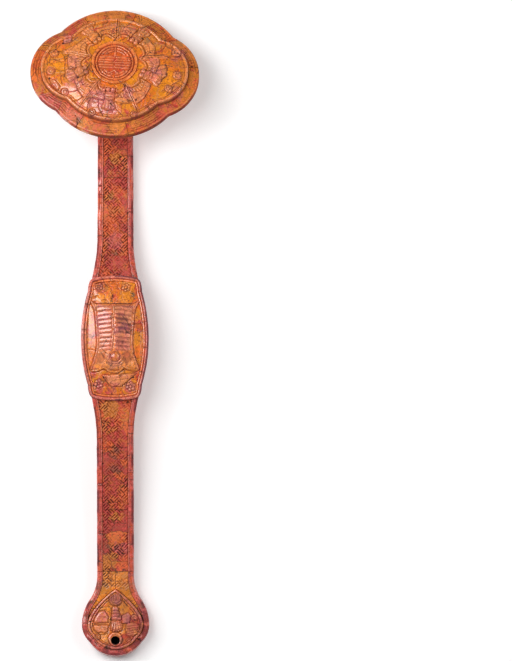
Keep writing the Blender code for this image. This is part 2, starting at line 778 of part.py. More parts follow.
def ogee_half_width(y):
    """Half the width of the pointed panel, which follows the rim below its widest place."""
    widest = TERMINAL_WIDTH / 2 - CORE_INSET
    limit = body_half_width(y, CORE_INSET)
    if y <= WIDEST_Y:
        return limit
    height = TIP_Y + OGEE_APEX - WIDEST_Y
    radius = (height**2 + widest**2) / (2 * widest)
    own = widest - radius + math.sqrt(max(radius**2 - (y - WIDEST_Y) ** 2, 0.0))
    return min(own, limit)


def ogee_outline():
    """The pointed panel's outline, anticlockwise from the apex."""
    apex = TIP_Y + OGEE_APEX
    heights = [apex - (apex - WIDEST_Y) * share for share in (0.06, 0.2, 0.4, 0.6, 0.8)]
    right = [Vector((ogee_half_width(y), y)) for y in heights]
    right += [p for p in terminal_side(CORE_INSET) if p.y <= WIDEST_Y]
    left = [Vector((-p.x, p.y)) for p in right[:-1]]
    return [Vector((0.0, apex))] + left + right[::-1]


def make_spandrel(name, side, finish):
    """The slab between the pointed panel, the rim and the last fret slab, on one side."""
    low = WIDEST_Y
    least = BORDER_WIDTH / 5
    while body_half_width(low, CORE_INSET) - ogee_half_width(low) < least + 2 * GLUE_LINE:
        low += STATION / 24
    high = TERMINAL_TOP - GLUE_LINE / 2
    apex = TIP_Y + OGEE_APEX
    places = sorted({low, apex, high} | set(np.linspace(low, apex, 8)) | set(np.linspace(apex, high, 4)))
    rows = []
    for y in places:
        outer = body_half_width(y, CORE_INSET)
        inner = ogee_half_width(y) + 2 * GLUE_LINE if y < apex else GLUE_LINE / 2
        rows.append([bend(side * x, y, depth) for x, depth in
                     ((inner, BED), (outer, BED), (outer, FIELD_TOP), (inner, FIELD_TOP))])
    return loft(name, rows, finish)


def make_terminal(finishes):
    """Rim, spandrels, pointed panel and back of the tassel end. Returns what the hole passes through."""
    right_outer, right_inner = terminal_side(0.0), terminal_side(BORDER_WIDTH)
    outer = [Vector((-p.x, p.y)) for p in right_outer[:-1]] + right_outer[::-1]
    inner = [Vector((-p.x, p.y)) for p in right_inner[:-1]] + right_inner[::-1]
    shape = [(0.0, inward, depth) for inward, depth in BORDER_SHAPE[1:-1]]
    shape = [(1.0, 0.0, BACK)] + shape + [(1.0, 0.0, FRONT)]
    cusp = len(right_outer) - 1 - BOTTOM_STEPS
    last = len(outer) - 1
    moulding("terminal_rim_left", outer, inner, 0, cusp, shape, bend, finishes["red"])
    moulding("terminal_rim_bottom", outer, inner, cusp, last - cusp, shape, bend, finishes["red"])
    moulding("terminal_rim_right", outer, inner, last - cusp, last, shape, bend, finishes["red"])
    make_spandrel("terminal_spandrel_left", -1, finishes["ochre"])
    make_spandrel("terminal_spandrel_right", 1, finishes["ochre"])
    back = ladder("terminal_back_slab", terminal_end(CORE_INSET), TERMINAL_TOP - GLUE_LINE / 2,
                  CORE_INSET, BACK, BACK + BACK_SLAB, finishes["orange"])
    ledge = FRONT + OGEE_RISE
    centre = Vector((0.0, WIDEST_Y))
    levels = underside(BED) + [(1.0, ledge - OGEE_BEAD_RISE), (0.97, ledge + OGEE_BEAD_RISE * 0.7),
                               (0.93, ledge + OGEE_BEAD_RISE), (0.89, ledge)]
    levels += [(share, ledge) for share in RING_SHARES[1:]]
    panel = cushion("terminal_panel", ogee_outline(), centre, levels, bend, finishes["ochre"])
    hole = Vector((0.0, HOLE_Y))
    rings = []
    collar = HOLE_RADIUS + COLLAR_WIDTH
    crest = ledge + COLLAR_RISE
    for share, depth in ((1.0, BED + RELIEF_SINK), (1.0, crest - COLLAR_RISE / 2), (0.9, crest)):
        ring = arc(hole, collar * share, 0.0, 2 * math.pi, 24)[:-1]
        rings.append([bend(p.x, p.y, depth) for p in ring])
    boolean(panel, helper(loft("hole_collar", rings, finishes["ochre"])), "UNION")
    spreads = (TERMINAL_BAT_SPREAD, TERMINAL_BAT_SPREAD)
    bat = Bat(hole, 90, spreads, collar + BAT_GAP, TERMINAL_BAT_LENGTH, TERMINAL_WING)
    bat.join(panel, "terminal_bat", lambda x, y: ledge, bend, None, finishes["red"])
    return [back, panel]


def drill_tassel_hole(pieces, finish):
    """The upright hole for the tassel's cord."""
    start = Vector((0.0, HOLE_Y, -SHAFT_DEPTH))
    end = Vector((0.0, HOLE_Y, SHAFT_DEPTH * 3))
    drill = helper(rod("tassel_hole_drill", start, end, HOLE_RADIUS, 32, finish))
    for piece in pieces:
        boolean(piece, drill, "DIFFERENCE")


# Head

def head_outline(inset):
    """The head's outline in its own plan, moved inwards."""
    return HEAD.points((inset, inset), (HEAD_FILLET,))


def panel_outline(inset):
    """The raised panel's outline in the head's plan, moved inwards."""
    return HEAD.points((RIM_SIDE + inset, RIM_END + inset), (PANEL_FILLET,))


def medallion_circle(outline, radius):
    """A ring of points about the medallion's middle, one towards each point of an outline."""
    middle = Vector((0.0, MEDALLION_OFFSET))
    return [middle + (point - middle).normalized() * radius for point in outline]


def dome_height(x, y):
    """Height of the carved field between the bead and the medallion."""
    middle = Vector((0.0, MEDALLION_OFFSET))
    edge = [point - middle for point in panel_outline(GLUE_LINE)]
    turns, lengths = zip(*sorted((direction(point), point.length) for point in edge))
    own = Vector((x, y)) - middle
    reach = float(np.interp(direction(own), turns, lengths, period=2 * math.pi)) - BEAD_WIDTH
    seat = MEDALLION_RADIUS + GLUE_LINE
    share = min(max((reach - own.length) / (reach - seat), 0.0), 1.0)
    return FIELD_EDGE + DOME_RISE * (1.0 - (1.0 - share) ** 2)


def make_rim(frame, finish):
    """The brim of the head, in pieces that wrap over the edge of the core board."""
    outer = head_outline(0.0)
    inner = panel_outline(0.0)
    shape = (
        (0.0, BACK_CHAMFER, 0.0),
        (0.0, 0.0, BACK_CHAMFER),
        (0.0, 0.0, RIM_EDGE - RIM_ROUND),
        (0.0, RIM_ROUND * 0.3, RIM_EDGE - RIM_ROUND * 0.3),
        (0.0, RIM_ROUND, RIM_EDGE),
        (1.0, 0.0, RIM_TOP),
        (1.0, 0.0, RIM_TOP - HEAD_STONE),
        (0.0, HEAD_STONE, RIM_EDGE - HEAD_STONE),
        (0.0, HEAD_STONE, 0.0),
    )
    stops = [nearest(outer, degrees) for degrees in RIM_JOINTS]
    stops.append(stops[0] + len(outer))
    for index, (first, last) in enumerate(zip(stops[:-1], stops[1:]), 1):
        piece = moulding(f"head_rim_{index}", outer, inner, first, last, shape, flat, finish)
        piece.parent = frame


def make_dome(frame, finishes):
    """The five pieces of the carved dome round the medallion, each with a bat."""
    outer = panel_outline(GLUE_LINE)
    inner = medallion_circle(outer, MEDALLION_RADIUS + GLUE_LINE)
    crest = FIELD_EDGE + BEAD_RISE
    fields = (0.0, 0.3, 0.65, 1.0)
    heights = [FIELD_EDGE + DOME_RISE * (1.0 - (1.0 - share) ** 2) for share in fields]
    shape = [(0.0, 0.0, RIM_TOP - HEAD_STONE), (0.0, 0.0, crest - BEAD_WIDTH * 0.4),
             (0.0, BEAD_WIDTH * 0.25, crest), (0.0, BEAD_WIDTH * 0.7, crest)]
    shape += [(share, BEAD_WIDTH * (1.0 - share), height) for share, height in zip(fields, heights)]
    shape += [(share, HEAD_STONE * (1.0 - share), height - HEAD_STONE)
              for share, height in reversed(list(zip(fields, heights)))]
    shape.append((0.0, HEAD_STONE, RIM_TOP - HEAD_STONE))
    stops = [nearest(outer, degrees) for degrees in DOME_JOINTS]
    stops.append(stops[0] + len(outer))
    middle = Vector((0.0, MEDALLION_OFFSET))
    for index, degrees in enumerate(BAT_DIRECTIONS):
        piece = moulding(f"dome_piece_{index + 1}", outer, inner, stops[index], stops[index + 1], shape,
                         flat, finishes["ochre"])
        piece.parent = frame
        ends = [direction(outer[stops[end] % len(outer)] - middle) for end in (index, index + 1)]
        spreads = [math.degrees(abs((math.radians(degrees) - end + math.pi) % (2 * math.pi) - math.pi))
                   for end in ends]
        bat = Bat(middle, degrees, spreads, MEDALLION_RADIUS + BAT_GAP, BAT_LENGTH, HEAD_WING)
        bat.join(piece, f"bat_{index + 1}", dome_height, flat, frame, finishes["red"])


def make_medallion(frame, finishes):
    """The round medallion: a ring with bars and arcs of fretwork inside."""
    middle = Vector((0.0, MEDALLION_OFFSET))
    circle = arc(middle, MEDALLION_RADIUS, 0.0, 2 * math.pi, 36)[:-1]
    floor = DOME_TOP
    crest = floor + MEDALLION_RISE
    inside = 1.0 - MEDALLION_RING / MEDALLION_RADIUS
    levels = [(1.0, DOME_TOP - HEAD_STONE), (1.0, crest - MEDALLION_RING * 0.3),
              (1.0 - (1.0 - inside) * 0.3, crest), (1.0 - (1.0 - inside) * 0.7, crest), (inside, floor)]
    disc = cushion("head_medallion", circle, middle, levels, flat, finishes["red"])
    disc.parent = frame
    free = MEDALLION_RADIUS * inside
    for index in range(MEDALLION_BARS):
        across = BAR_PITCH * (index - (MEDALLION_BARS - 1) / 2)
        half = math.sqrt(max(free**2 - (abs(across) + BAR_WIDTH) ** 2, BAR_WIDTH**2)) - BAR_WIDTH
        rows = []
        for end, rise in ((-half, 0.0), (half, 0.0)):
            rows.append([flat(end, MEDALLION_OFFSET + across + side * BAR_WIDTH / 2, floor + up)
                         for side, up in ((-1, -RELIEF_SINK), (1, -RELIEF_SINK), (0.6, BAR_RISE),
                                          (-0.6, BAR_RISE))])
        bar = helper(loft(f"medallion_bar_{index + 1}", rows, finishes["red"]))
        bar.parent = frame
        boolean(disc, bar, "UNION")


def make_head_board(frame, finish):
    """The wooden board inside the head, stepped and domed to carry the stone."""
    edge = HEAD_STONE + GLUE_LINE
    step = panel_outline(2 * GLUE_LINE + HEAD_STONE)
    outer = panel_outline(GLUE_LINE)
    seat = medallion_circle(outer, MEDALLION_RADIUS + GLUE_LINE)
    lower = head_outline(edge)
    below = HEAD_STONE + GLUE_LINE
    middle = [a.lerp(b, 0.5) for a, b in zip(step, seat)]
    rings = (
        (lower, HEAD_BACK_SLAB + GLUE_LINE),
        (lower, RIM_EDGE - below),
        (step, RIM_TOP - below),
        (step, FIELD_EDGE - below),
        (middle, FIELD_EDGE + DOME_RISE * 0.75 - below - GLUE_LINE),
        (seat, DOME_TOP - below),
    )
    board = loft("head_board", [[flat(p.x, p.y, height) for p in ring] for ring, height in rings], finish)
    board.parent = frame
    return board


def make_head_backs(frame, finish):
    """The two slabs that cover the back of the head."""
    inset = HEAD_STONE + GLUE_LINE
    outline = head_outline(inset)
    quarter = len(outline) // 4
    made = []
    for hand, side in (("left", -1), ("right", 1)):
        right = [outline[index] for index in range(-quarter, quarter + 1)]
        loop = [Vector((max(p.x, GLUE_LINE / 2) * side, p.y)) for p in right]
        slab = loft(f"head_back_{hand}", [[flat(p.x, p.y, height) for p in loop]
                                          for height in (0.0, HEAD_BACK_SLAB)], finish)
        slab.parent = frame
        made.append(slab)
    return made


def seat_head(at_head, drilled, frame, finishes):
    """Mitres the shaft's end to the back of the head and puts in the two dowels."""
    reach = HEAD_WIDTH / 2
    corners = ((-reach, -reach), (reach, -reach), (reach, reach), (-reach, reach))
    block = helper(loft("mitre_cutter", [[flat(x, y, height) for x, y in corners]
                                         for height in (-GLUE_LINE, reach)], finishes["wood"]))
    block.parent = frame
    for piece in at_head:
        boolean(piece, block, "DIFFERENCE")
    run = Vector((0.0, 1.0, SEAT_SLOPE)).normalized()
    seat = Vector((0.0, HEAD_Y, SEAT_HEIGHT))
    for hand, side in (("left", -1), ("right", 1)):
        middle = seat + Vector((side * DOWEL_SPACING / 2, 0.0, 0.0))
        low, high = middle - run * DOWEL_IN_SHAFT, middle + run * DOWEL_IN_HEAD
        rod(f"head_dowel_{hand}", low, high, DOWEL_RADIUS, 20, finishes["dowel"])
        drill = helper(rod(f"dowel_drill_{hand}", low - run * GLUE_LINE, high + run * GLUE_LINE,
                           DOWEL_RADIUS + GLUE_LINE, 20, finishes["wood"]))
        for piece in drilled:
            boolean(piece, drill, "DIFFERENCE")


def main():
    for old in list(bpy.data.objects):
        bpy.data.objects.remove(old)
    finishes = make_materials()
    frame = bpy.data.objects.new("head_frame", None)
    frame.matrix_world = (Matrix.Translation((0.0, HEAD_Y, SEAT_HEIGHT))
                          @ Matrix.Rotation(-HEAD_TILT, 4, "X") @ Matrix.Rotation(HEAD_TURN, 4, "Z"))
    bpy.context.scene.collection.objects.link(frame)

    core = make_core(finishes["wood"])
    at_plaque, at_head = make_shaft_covering(finishes)
    seat_plaque(at_plaque, finishes["wood"])
    make_plaque(finishes)
    drill_tassel_hole([core, *make_terminal(finishes)], finishes["wood"])
    make_rim(frame, finishes["orange"])
    make_dome(frame, finishes)
    make_medallion(frame, finishes)
    board = make_head_board(frame, finishes["wood"])
    backs = make_head_backs(frame, finishes["orange"])
    seat_head([core, *at_head], [core, board, *backs], frame, finishes)


main()
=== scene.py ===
"""Looks of the ruyi scepter: carved and polished realgar, pieced together over a wooden core.

Lengths are in millimetres until a mesh is made, but where a comment says metres. "Depth" is
measured from the middle of the shaft's thickness, square to the line that the shaft follows, and
"height" from the back of the head.
"""
import json
import math

import bpy
import numpy as np
from mathutils import Matrix, Vector


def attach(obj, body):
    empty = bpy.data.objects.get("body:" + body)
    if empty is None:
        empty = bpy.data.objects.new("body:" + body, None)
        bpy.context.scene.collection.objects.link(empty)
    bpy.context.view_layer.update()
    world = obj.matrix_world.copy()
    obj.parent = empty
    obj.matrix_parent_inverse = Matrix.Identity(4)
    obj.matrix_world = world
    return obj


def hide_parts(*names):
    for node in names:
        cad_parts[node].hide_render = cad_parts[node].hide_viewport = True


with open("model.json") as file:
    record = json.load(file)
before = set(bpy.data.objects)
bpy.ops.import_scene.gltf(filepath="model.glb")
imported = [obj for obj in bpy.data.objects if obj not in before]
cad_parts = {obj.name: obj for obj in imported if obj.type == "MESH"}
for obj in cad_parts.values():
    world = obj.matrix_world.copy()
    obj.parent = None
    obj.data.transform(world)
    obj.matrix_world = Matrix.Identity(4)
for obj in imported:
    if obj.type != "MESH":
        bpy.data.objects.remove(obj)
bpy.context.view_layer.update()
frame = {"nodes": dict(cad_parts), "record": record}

METRE = 1000.0
SIDES = (("left", -1), ("right", 1))

# Shaft, as it is built
LENGTH = 453.0
TIP_Y = -LENGTH / 2
GLUE = 0.3
SHAFT_WIDTH = 26.0
NECK_WIDTH = 24.6
SHAFT_DEPTH = 11.2
BORDER_WIDTH = 4.0
BORDER_ROUND = 1.6
BACK_CHAMFER = 1.0
FIELD_DROP = 0.7
FIELD_SLAB = 2.2
BACK_SLAB = 2.0
FRONT = SHAFT_DEPTH / 2
BACK = -SHAFT_DEPTH / 2
FIELD_TOP = FRONT - FIELD_DROP
BED = FIELD_TOP - FIELD_SLAB
CORE_INSET = BORDER_WIDTH + GLUE
SEALED = CORE_INSET - 0.05
# Number of front slabs, of edge strips on each side and of back slabs
PIECES = {"upper": (2, 3, 2), "lower": (3, 4, 3)}
BORDER_STAGGER = 4.5

# Plaque, as it is built
PLAQUE_Y = -3.7
PLAQUE_WIDTH = 47.4
PLAQUE_LENGTH = 85.2
PLAQUE_NOTCH_X = 19.0
PLAQUE_NOTCH_Y = 31.8
PLAQUE_SHOULDER = 19.0
PLAQUE_END_RADIUS = 64.0
PLAQUE_CORNER = 4.6
PLAQUE_FILLET = 1.2
PLAQUE_FLARE = 38.0
FRAME_WIDTH = 3.8
FRAME_RISE = 3.0
FRAME_BEAD = 1.15
PANEL_RISE = 1.6
PANEL_CROWN = 2.2

# Tassel end, as it is built
TERMINAL_WIDTH = 47.4
TERMINAL_LENGTH = 60.0
WIDEST_INSET = 21.9
SHOULDER_RADIUS = 32.0
FLARE_START = 3.3
LOBE_RADIUS = 16.0
BOTTOM_RADIUS = 21.7
OGEE_APEX = 47.7
OGEE_RISE = 1.6
OGEE_POINT = 1.75
HOLE_RADIUS = 3.1
COLLAR_WIDTH = 1.6
COLLAR_RISE = 0.5
APEX_Y = TIP_Y + OGEE_APEX
TERMINAL_TOP = TIP_Y + TERMINAL_LENGTH
WIDEST_Y = TIP_Y + WIDEST_INSET
HOLE = (0.0, TIP_Y + 11.4)
HOLE_SIDES = 48
DRILL_LENGTH = 80.0
# In metres
HOLE_PLACE = (HOLE[0] / METRE, HOLE[1] / METRE, 0.0)

# Head, as it is built
HEAD_WIDTH = 118.0
HEAD_LENGTH = 96.6
HEAD_NOTCH_X = 39.5
HEAD_NOTCH_Y = 29.5
HEAD_FILLET = 5.0
PANEL_FILLET = 3.0
HEAD_TILT = math.radians(-22.0)
HEAD_TURN = math.radians(-3.0)
RIM_SIDE = 7.4
RIM_END = 9.4
RIM_EDGE = 5.6
RIM_TOP = 7.0
RIM_ROUND = 1.4
HEAD_STONE = 2.2
HEAD_BACK_SLAB = 1.8
HEAD_BACK_EDGE = 0.3
HEAD_BACK_SHRINK = 0.994
FIELD_EDGE = RIM_TOP + 4.2
DOME_RISE = 4.5
DOME_TOP = FIELD_EDGE + DOME_RISE
BEAD_WIDTH = 2.0
BEAD_RISE = 0.8
MEDALLION = np.array((0.0, 3.0))
MEDALLION_RADIUS = 16.1
MEDALLION_RING = 2.2
MEDALLION_RISE = 1.0
MEDALLION_ROUND = 0.5
# Directions in degrees, seen from the head's middle
RIM_JOINTS = (8, 33, 72, 122, 161, 200, 239, 282, 328)
DOME_JOINTS = (18, 90, 168, 230, 302)
# The same, seen from the medallion's middle
BAT_DIRECTIONS = (54, 129, 199, 266, 340)
HEAD_Y = -TIP_Y - HEAD_LENGTH / 2 * math.cos(HEAD_TILT) + RIM_EDGE * math.sin(HEAD_TILT)
SEAT_HEIGHT = 29.0

# The line that the shaft follows, as (y, height, slope)
FOOT_WEAR = 0.3
REST_HEIGHT = SHAFT_DEPTH / 2 - FOOT_WEAR
SPINE = np.array((
    (TIP_Y, SHAFT_DEPTH / 2 + 3.0, -0.15),
    (TIP_Y + 34.0, REST_HEIGHT, 0.0),
    (PLAQUE_Y, SHAFT_DEPTH / 2 + 17.0, 0.0),
    (HEAD_Y - 76.0, REST_HEIGHT, 0.0),
    (HEAD_Y, SEAT_HEIGHT, 0.64),
))

# Fineness, unevenness and wear of the carved surfaces
BORDER_STEP = 0.442
FIELD_STEP = 0.30
PLAIN_STEP = 1.6
PANEL_STEP = 0.33
OGEE_STEP = 0.28
HEAD_FINENESS = 15
FRAME_FINENESS = 12
RIM_FINENESS = 10
RIM_ROWS = 23
DOME_ROWS = 83
MEDALLION_RINGS = 51
MEDALLION_SIDES = 300
SPANDREL_ROWS = 130
SPANDREL_COLUMNS = 25
OGEE_POINTS = 260
EASED_ROWS = 0.35
EVEN_ROWS = 10
SHARP = math.radians(62)
WEAR = 0.12
WOBBLE = 0.16
UNEVEN = 0.07
CRACK_WIDTH = 0.5
CRACK_DEPTH = 0.35
CHIP_DEPTH = 0.7


# Numbers and noise

def smooth(value):
    """Eases a share from 0 to 1."""
    value = np.clip(value, 0.0, 1.0)
    return value * value * (3.0 - 2.0 * value)


def bell(away, width):
    """1 on a line, fading on both sides of it."""
    return np.exp(-((away / width) ** 2))


def bowl(away, half):
    """1 on a line, curving down to 0 at half its width."""
    return np.clip(1.0 - (away / half) ** 2, 0.0, 1.0)


def random_cell(column, row, seed):
    """A repeatable random share for each cell of a grid."""
    return np.modf(np.abs(np.sin(column * 12.9898 + row * 78.233 + seed * 37.719)) * 43758.5453)[0]


def noise(x, y, size, seed):
    """Smooth noise from -1 to 1 whose lumps are about size across."""
    u, v = x / size, y / size
    column, row = np.floor(u), np.floor(v)
    a, b = smooth(u - column), smooth(v - row)
    near, far = (random_cell(column, level, seed) * (1 - a) + random_cell(column + 1, level, seed) * a
                 for level in (row, row + 1))
    return 2.0 * (near * (1 - b) + far * b) - 1.0


# Outlines

def arc(centre, radius, start, end, steps):
    """Points of an arc between two angles, both ends included."""
    angles = np.linspace(start, end, steps + 1)
    return np.c_[centre[0] + radius * np.cos(angles), centre[1] + radius * np.sin(angles)]


def circle(centre, radius, steps):
    """Points of a full turn that ends where it starts."""
    return arc(centre, radius, 0.0, 2 * math.pi, steps)


def direction(vector):
    """The angle of a vector in the plan."""
    return math.atan2(vector[1], vector[0])


def crossing(centre_a, radius_a, centre_b, radius_b, hand):
    """Where two circles cross, on the left (1) or the right (-1) of the way from a to b."""
    gap = centre_b - centre_a
    length = math.hypot(*gap)
    along = (length**2 + radius_a**2 - radius_b**2) / (2 * length)
    aside = math.sqrt(max(radius_a**2 - along**2, 0.0))
    unit = gap / length
    return centre_a + unit * along + np.array((-unit[1], unit[0])) * aside * hand


def chord_radius(rise, reach):
    """Radius of an arc that starts square to an axis and is rise away from it after reach."""
    return (rise**2 + reach**2) / (2 * rise)


class Quartered:
    """An outline whose four quarters are alike, each a chain of arcs with rounded joins."""

    def __init__(self, arcs, joins):
        self.arcs = [(np.array(centre), radius, steps) for centre, radius, steps in arcs]
        self.joins = joins

    def points(self, insets, rounds, fine):
        """The outline with each arc moved inwards, at a number of times the built outline's steps."""
        radii = [radius - inset for (_, radius, _), inset in zip(self.arcs, insets)]
        quarter = [np.empty((0, 2))]
        turn = 0.0
        for index, (centre, _, steps) in enumerate(self.arcs[:-1]):
            after = self.arcs[index + 1][0]
            kind, join_steps = self.joins[index]
            hand = -1 if kind == "notch" else 1
            grown = [radius - hand * rounds[index] for radius in radii[index:index + 2]]
            middle = crossing(centre, grown[0], after, grown[1], hand)
            end, onward = direction(middle - centre), direction(middle - after)
            away = math.pi if kind == "notch" else 0.0
            quarter.append(arc(centre, radii[index], turn, end, steps * fine)[min(index, 1):])
            quarter.append(arc(middle, rounds[index], end + away, onward + away, join_steps * fine)[1:])
            turn = onward
        centre, _, steps = self.arcs[-1]
        quarter.append(arc(centre, radii[-1], turn, math.pi / 2, steps * fine)[1:])
        quarter = np.vstack(quarter)
        half = np.vstack([quarter, quarter[-2::-1] * (-1, 1)])
        return np.vstack([half, half[-2:0:-1] * (1, -1)])


def head_shape():
    """The head's outline: two side lobes and two end lobes that meet in four notches."""
    side = chord_radius(HEAD_WIDTH / 2 - HEAD_NOTCH_X, HEAD_NOTCH_Y)
    end = chord_radius(HEAD_LENGTH / 2 - HEAD_NOTCH_Y, HEAD_NOTCH_X)
    arcs = (((HEAD_WIDTH / 2 - side, 0.0), side, 5), ((0.0, HEAD_LENGTH / 2 - end), end, 7))
    return Quartered(arcs, (("notch", 3),))


def plaque_shape():
    """The plaque's outline: long sides, a small notch, and square ends with rounded corners."""
    side = chord_radius(PLAQUE_WIDTH / 2 - PLAQUE_NOTCH_X, PLAQUE_NOTCH_Y)
    arcs = (
        ((PLAQUE_WIDTH / 2 - side, 0.0), side, 4),
        ((PLAQUE_NOTCH_X - PLAQUE_SHOULDER, PLAQUE_NOTCH_Y), PLAQUE_SHOULDER, 1),
        ((0.0, PLAQUE_LENGTH / 2 - PLAQUE_END_RADIUS), PLAQUE_END_RADIUS, 3),
    )
    return Quartered(arcs, (("notch", 2), ("corner", 3)))


HEAD = head_shape()
PLAQUE = plaque_shape()


def head_outline(inset, fine=1):
    """The brim's outline, moved inwards."""
    return HEAD.points((inset, inset), (HEAD_FILLET,), fine)


def panel_outline(inset, fine=1):
    """The raised panel's outline in the head's plan, moved inwards."""
    return HEAD.points((RIM_SIDE + inset, RIM_END + inset), (PANEL_FILLET,), fine)


def plaque_outline(inset):
    """The plaque's outline about its own middle, moved inwards."""
    corner = max(PLAQUE_CORNER - inset, PLAQUE_FILLET)
    return PLAQUE.points([inset] * 3, [PLAQUE_FILLET + max(inset, 0.0), corner], FRAME_FINENESS)


def terminal_side(inset):
    """Right-hand outline of the tassel end, moved inwards, from the shaft down to the tip."""
    shaft = SHAFT_WIDTH / 2
    steps = 4 * RIM_FINENESS
    shoulder = np.array((TERMINAL_WIDTH / 2 - SHOULDER_RADIUS, WIDEST_Y))
    lobe = np.array((TERMINAL_WIDTH / 2 - LOBE_RADIUS, WIDEST_Y))
    bottom = np.array((0.0, TIP_Y + BOTTOM_RADIUS))
    rise = TERMINAL_LENGTH - FLARE_START - WIDEST_INSET
    spread = shaft - shoulder[0]
    flare_radius = (spread**2 + rise**2 - SHOULDER_RADIUS**2) / (2 * (SHOULDER_RADIUS - spread))
    flare = np.array((shaft + flare_radius, WIDEST_Y + rise))
    turn = direction(flare - shoulder)
    cusp = crossing(lobe, LOBE_RADIUS - inset, bottom, BOTTOM_RADIUS - inset, 1)
    return np.vstack([
        ((shaft - inset, TERMINAL_TOP),),
        arc(flare, flare_radius + inset, math.pi, math.pi + turn, steps),
        arc(shoulder, SHOULDER_RADIUS - inset, turn, 0.0, steps)[1:],
        arc(lobe, LOBE_RADIUS - inset, 0.0, direction(cusp - lobe), steps)[1:],
        arc(bottom, BOTTOM_RADIUS - inset, direction(cusp - bottom), -math.pi / 2, steps)[1:],
    ])


def body_half_width(y, inset):
    """Half the width of the body at each y: tassel end, shaft and swelling plaque."""
    side = terminal_side(inset)[::-1]
    end = np.interp(y, side[:, 1], side[:, 0])
    away = np.abs(y - PLAQUE_Y)
    centre, radius, _ = PLAQUE.arcs[0]
    plaque = centre[0] + np.sqrt(np.maximum(radius**2 - away**2, 0.0)) - inset
    neck = np.clip((y - PLAQUE_Y) / (HEAD_Y - PLAQUE_Y), 0.0, 1.0)
    shaft = SHAFT_WIDTH / 2 + (NECK_WIDTH - SHAFT_WIDTH) / 2 * neck
    swell = np.maximum(1.0 - (away - PLAQUE_NOTCH_Y) / PLAQUE_FLARE, 0.0) ** 2
    shaft = shaft + (PLAQUE_NOTCH_X - shaft) * swell - inset
    return np.where(y < TERMINAL_TOP, end, np.where(away < PLAQUE_NOTCH_Y, plaque, shaft))


def ogee_half_width(y):
    """Half the width of the pointed panel of the tassel end."""
    widest = TERMINAL_WIDTH / 2 - CORE_INSET
    share = np.clip((y - WIDEST_Y) / (APEX_Y - WIDEST_Y), 0.0, 1.0)
    limit = body_half_width(y, CORE_INSET)
    own = np.minimum(widest * (1.0 - share**OGEE_POINT), limit)
    return np.maximum(np.where(y <= WIDEST_Y, limit, own), 0.02)


def ogee_outline():
    """The pointed panel's outline."""
    eased = 0.5 - 0.5 * np.cos(np.linspace(0, math.pi, OGEE_POINTS))
    y = TIP_Y + CORE_INSET + (OGEE_APEX - CORE_INSET) * eased
    half = ogee_half_width(y)
    return np.vstack([np.c_[half, y], np.c_[-half[::-1], y[::-1]]])


# Placing

def bend(x, y, depth):
    """The place of points of the shaft, with the underside rubbed flat where it rests."""
    knot = np.clip(np.searchsorted(SPINE[:, 0], y, side="right") - 1, 0, len(SPINE) - 2)
    y0, z0, s0 = np.moveaxis(SPINE[knot], -1, 0)
    y1, z1, s1 = np.moveaxis(SPINE[knot + 1], -1, 0)
    span = y1 - y0
    t = np.clip((y - y0) / span, 0.0, 1.0)
    height = (z0 * (2 * t**3 - 3 * t**2 + 1) + span * s0 * (t**3 - 2 * t**2 + t)
              + z1 * (3 * t**2 - 2 * t**3) + span * s1 * (t**3 - t**2))
    slope = (z0 - z1) * (6 * t**2 - 6 * t) / span + s0 * (3 * t**2 - 4 * t + 1) + s1 * (3 * t**2 - 2 * t)
    height = height + slope * (y - np.clip(y, y0, y1))
    across = 1.0 / np.hypot(1.0, slope)
    return np.stack([x, y - depth * slope * across, np.maximum(height + depth * across, 0.0)], -1)


def bend_plaque(x, y, depth):
    """The same for plans drawn about the middle of the plaque."""
    return bend(x, y + PLAQUE_Y, depth)


HEAD_PLACE = np.array(Matrix.Rotation(HEAD_TILT, 3, "X") @ Matrix.Rotation(HEAD_TURN, 3, "Z"))
HEAD_SEAT = np.array((0.0, HEAD_Y, SEAT_HEIGHT))


def lay(x, y, height):
    """The place of points of the head."""
    return np.stack([x, y, height], -1) @ HEAD_PLACE.T + HEAD_SEAT


def mitre(depths):
    """How far along the shaft lines at these depths meet the back of the head, with a glue line."""
    y = np.linspace(HEAD_Y - 25.0, HEAD_Y + 15.0, 400)
    above = [(bend(0 * y, y, depth) - HEAD_SEAT) @ HEAD_PLACE[:, 2] for depth in depths]
    return np.array([np.interp(-GLUE, line, y) for line in above])


# Lines for carving

def curve(points, closed=False, steps=6):
    """A smooth line through points."""
    points = np.asarray(points, float)
    if closed:
        padded = np.vstack([points[-1:], points, points[:2]])
    else:
        padded = np.vstack([2 * points[0] - points[1], points, 2 * points[-1] - points[-2]])
    t = np.linspace(0.0, 1.0, steps, endpoint=False)[:, None]
    made = []
    for a, b, c, d in zip(padded[:-3], padded[1:-2], padded[2:-1], padded[3:]):
        made.append(0.5 * (2 * b + (c - a) * t + (2 * a - 5 * b + 4 * c - d) * t**2
                           + (3 * b - a - 3 * c + d) * t**3))
    made.append(points[:1] if closed else points[-1:])
    return np.vstack(made)


def around(degrees, radius):
    """Points of the head's plan by their direction and distance from the medallion's middle."""
    turn = np.radians(degrees)
    return MEDALLION + np.c_[radius * np.cos(turn), radius * np.sin(turn)]


def from_tip(*points):
    """Points of the tassel end by their distance from its tip."""
    return np.array(points) + (0.0, TIP_Y)


def distance(x, y, line):
    """Distance from each place to a line of straight stretches."""
    best = np.full(x.shape, 1e9)
    for (x0, y0), (x1, y1) in zip(line[:-1], line[1:]):
        dx, dy = x1 - x0, y1 - y0
        share = np.clip(((x - x0) * dx + (y - y0) * dy) / max(dx * dx + dy * dy, 1e-9), 0.0, 1.0)
        best = np.minimum(best, (x - x0 - share * dx) ** 2 + (y - y0 - share * dy) ** 2)
    return np.sqrt(best)


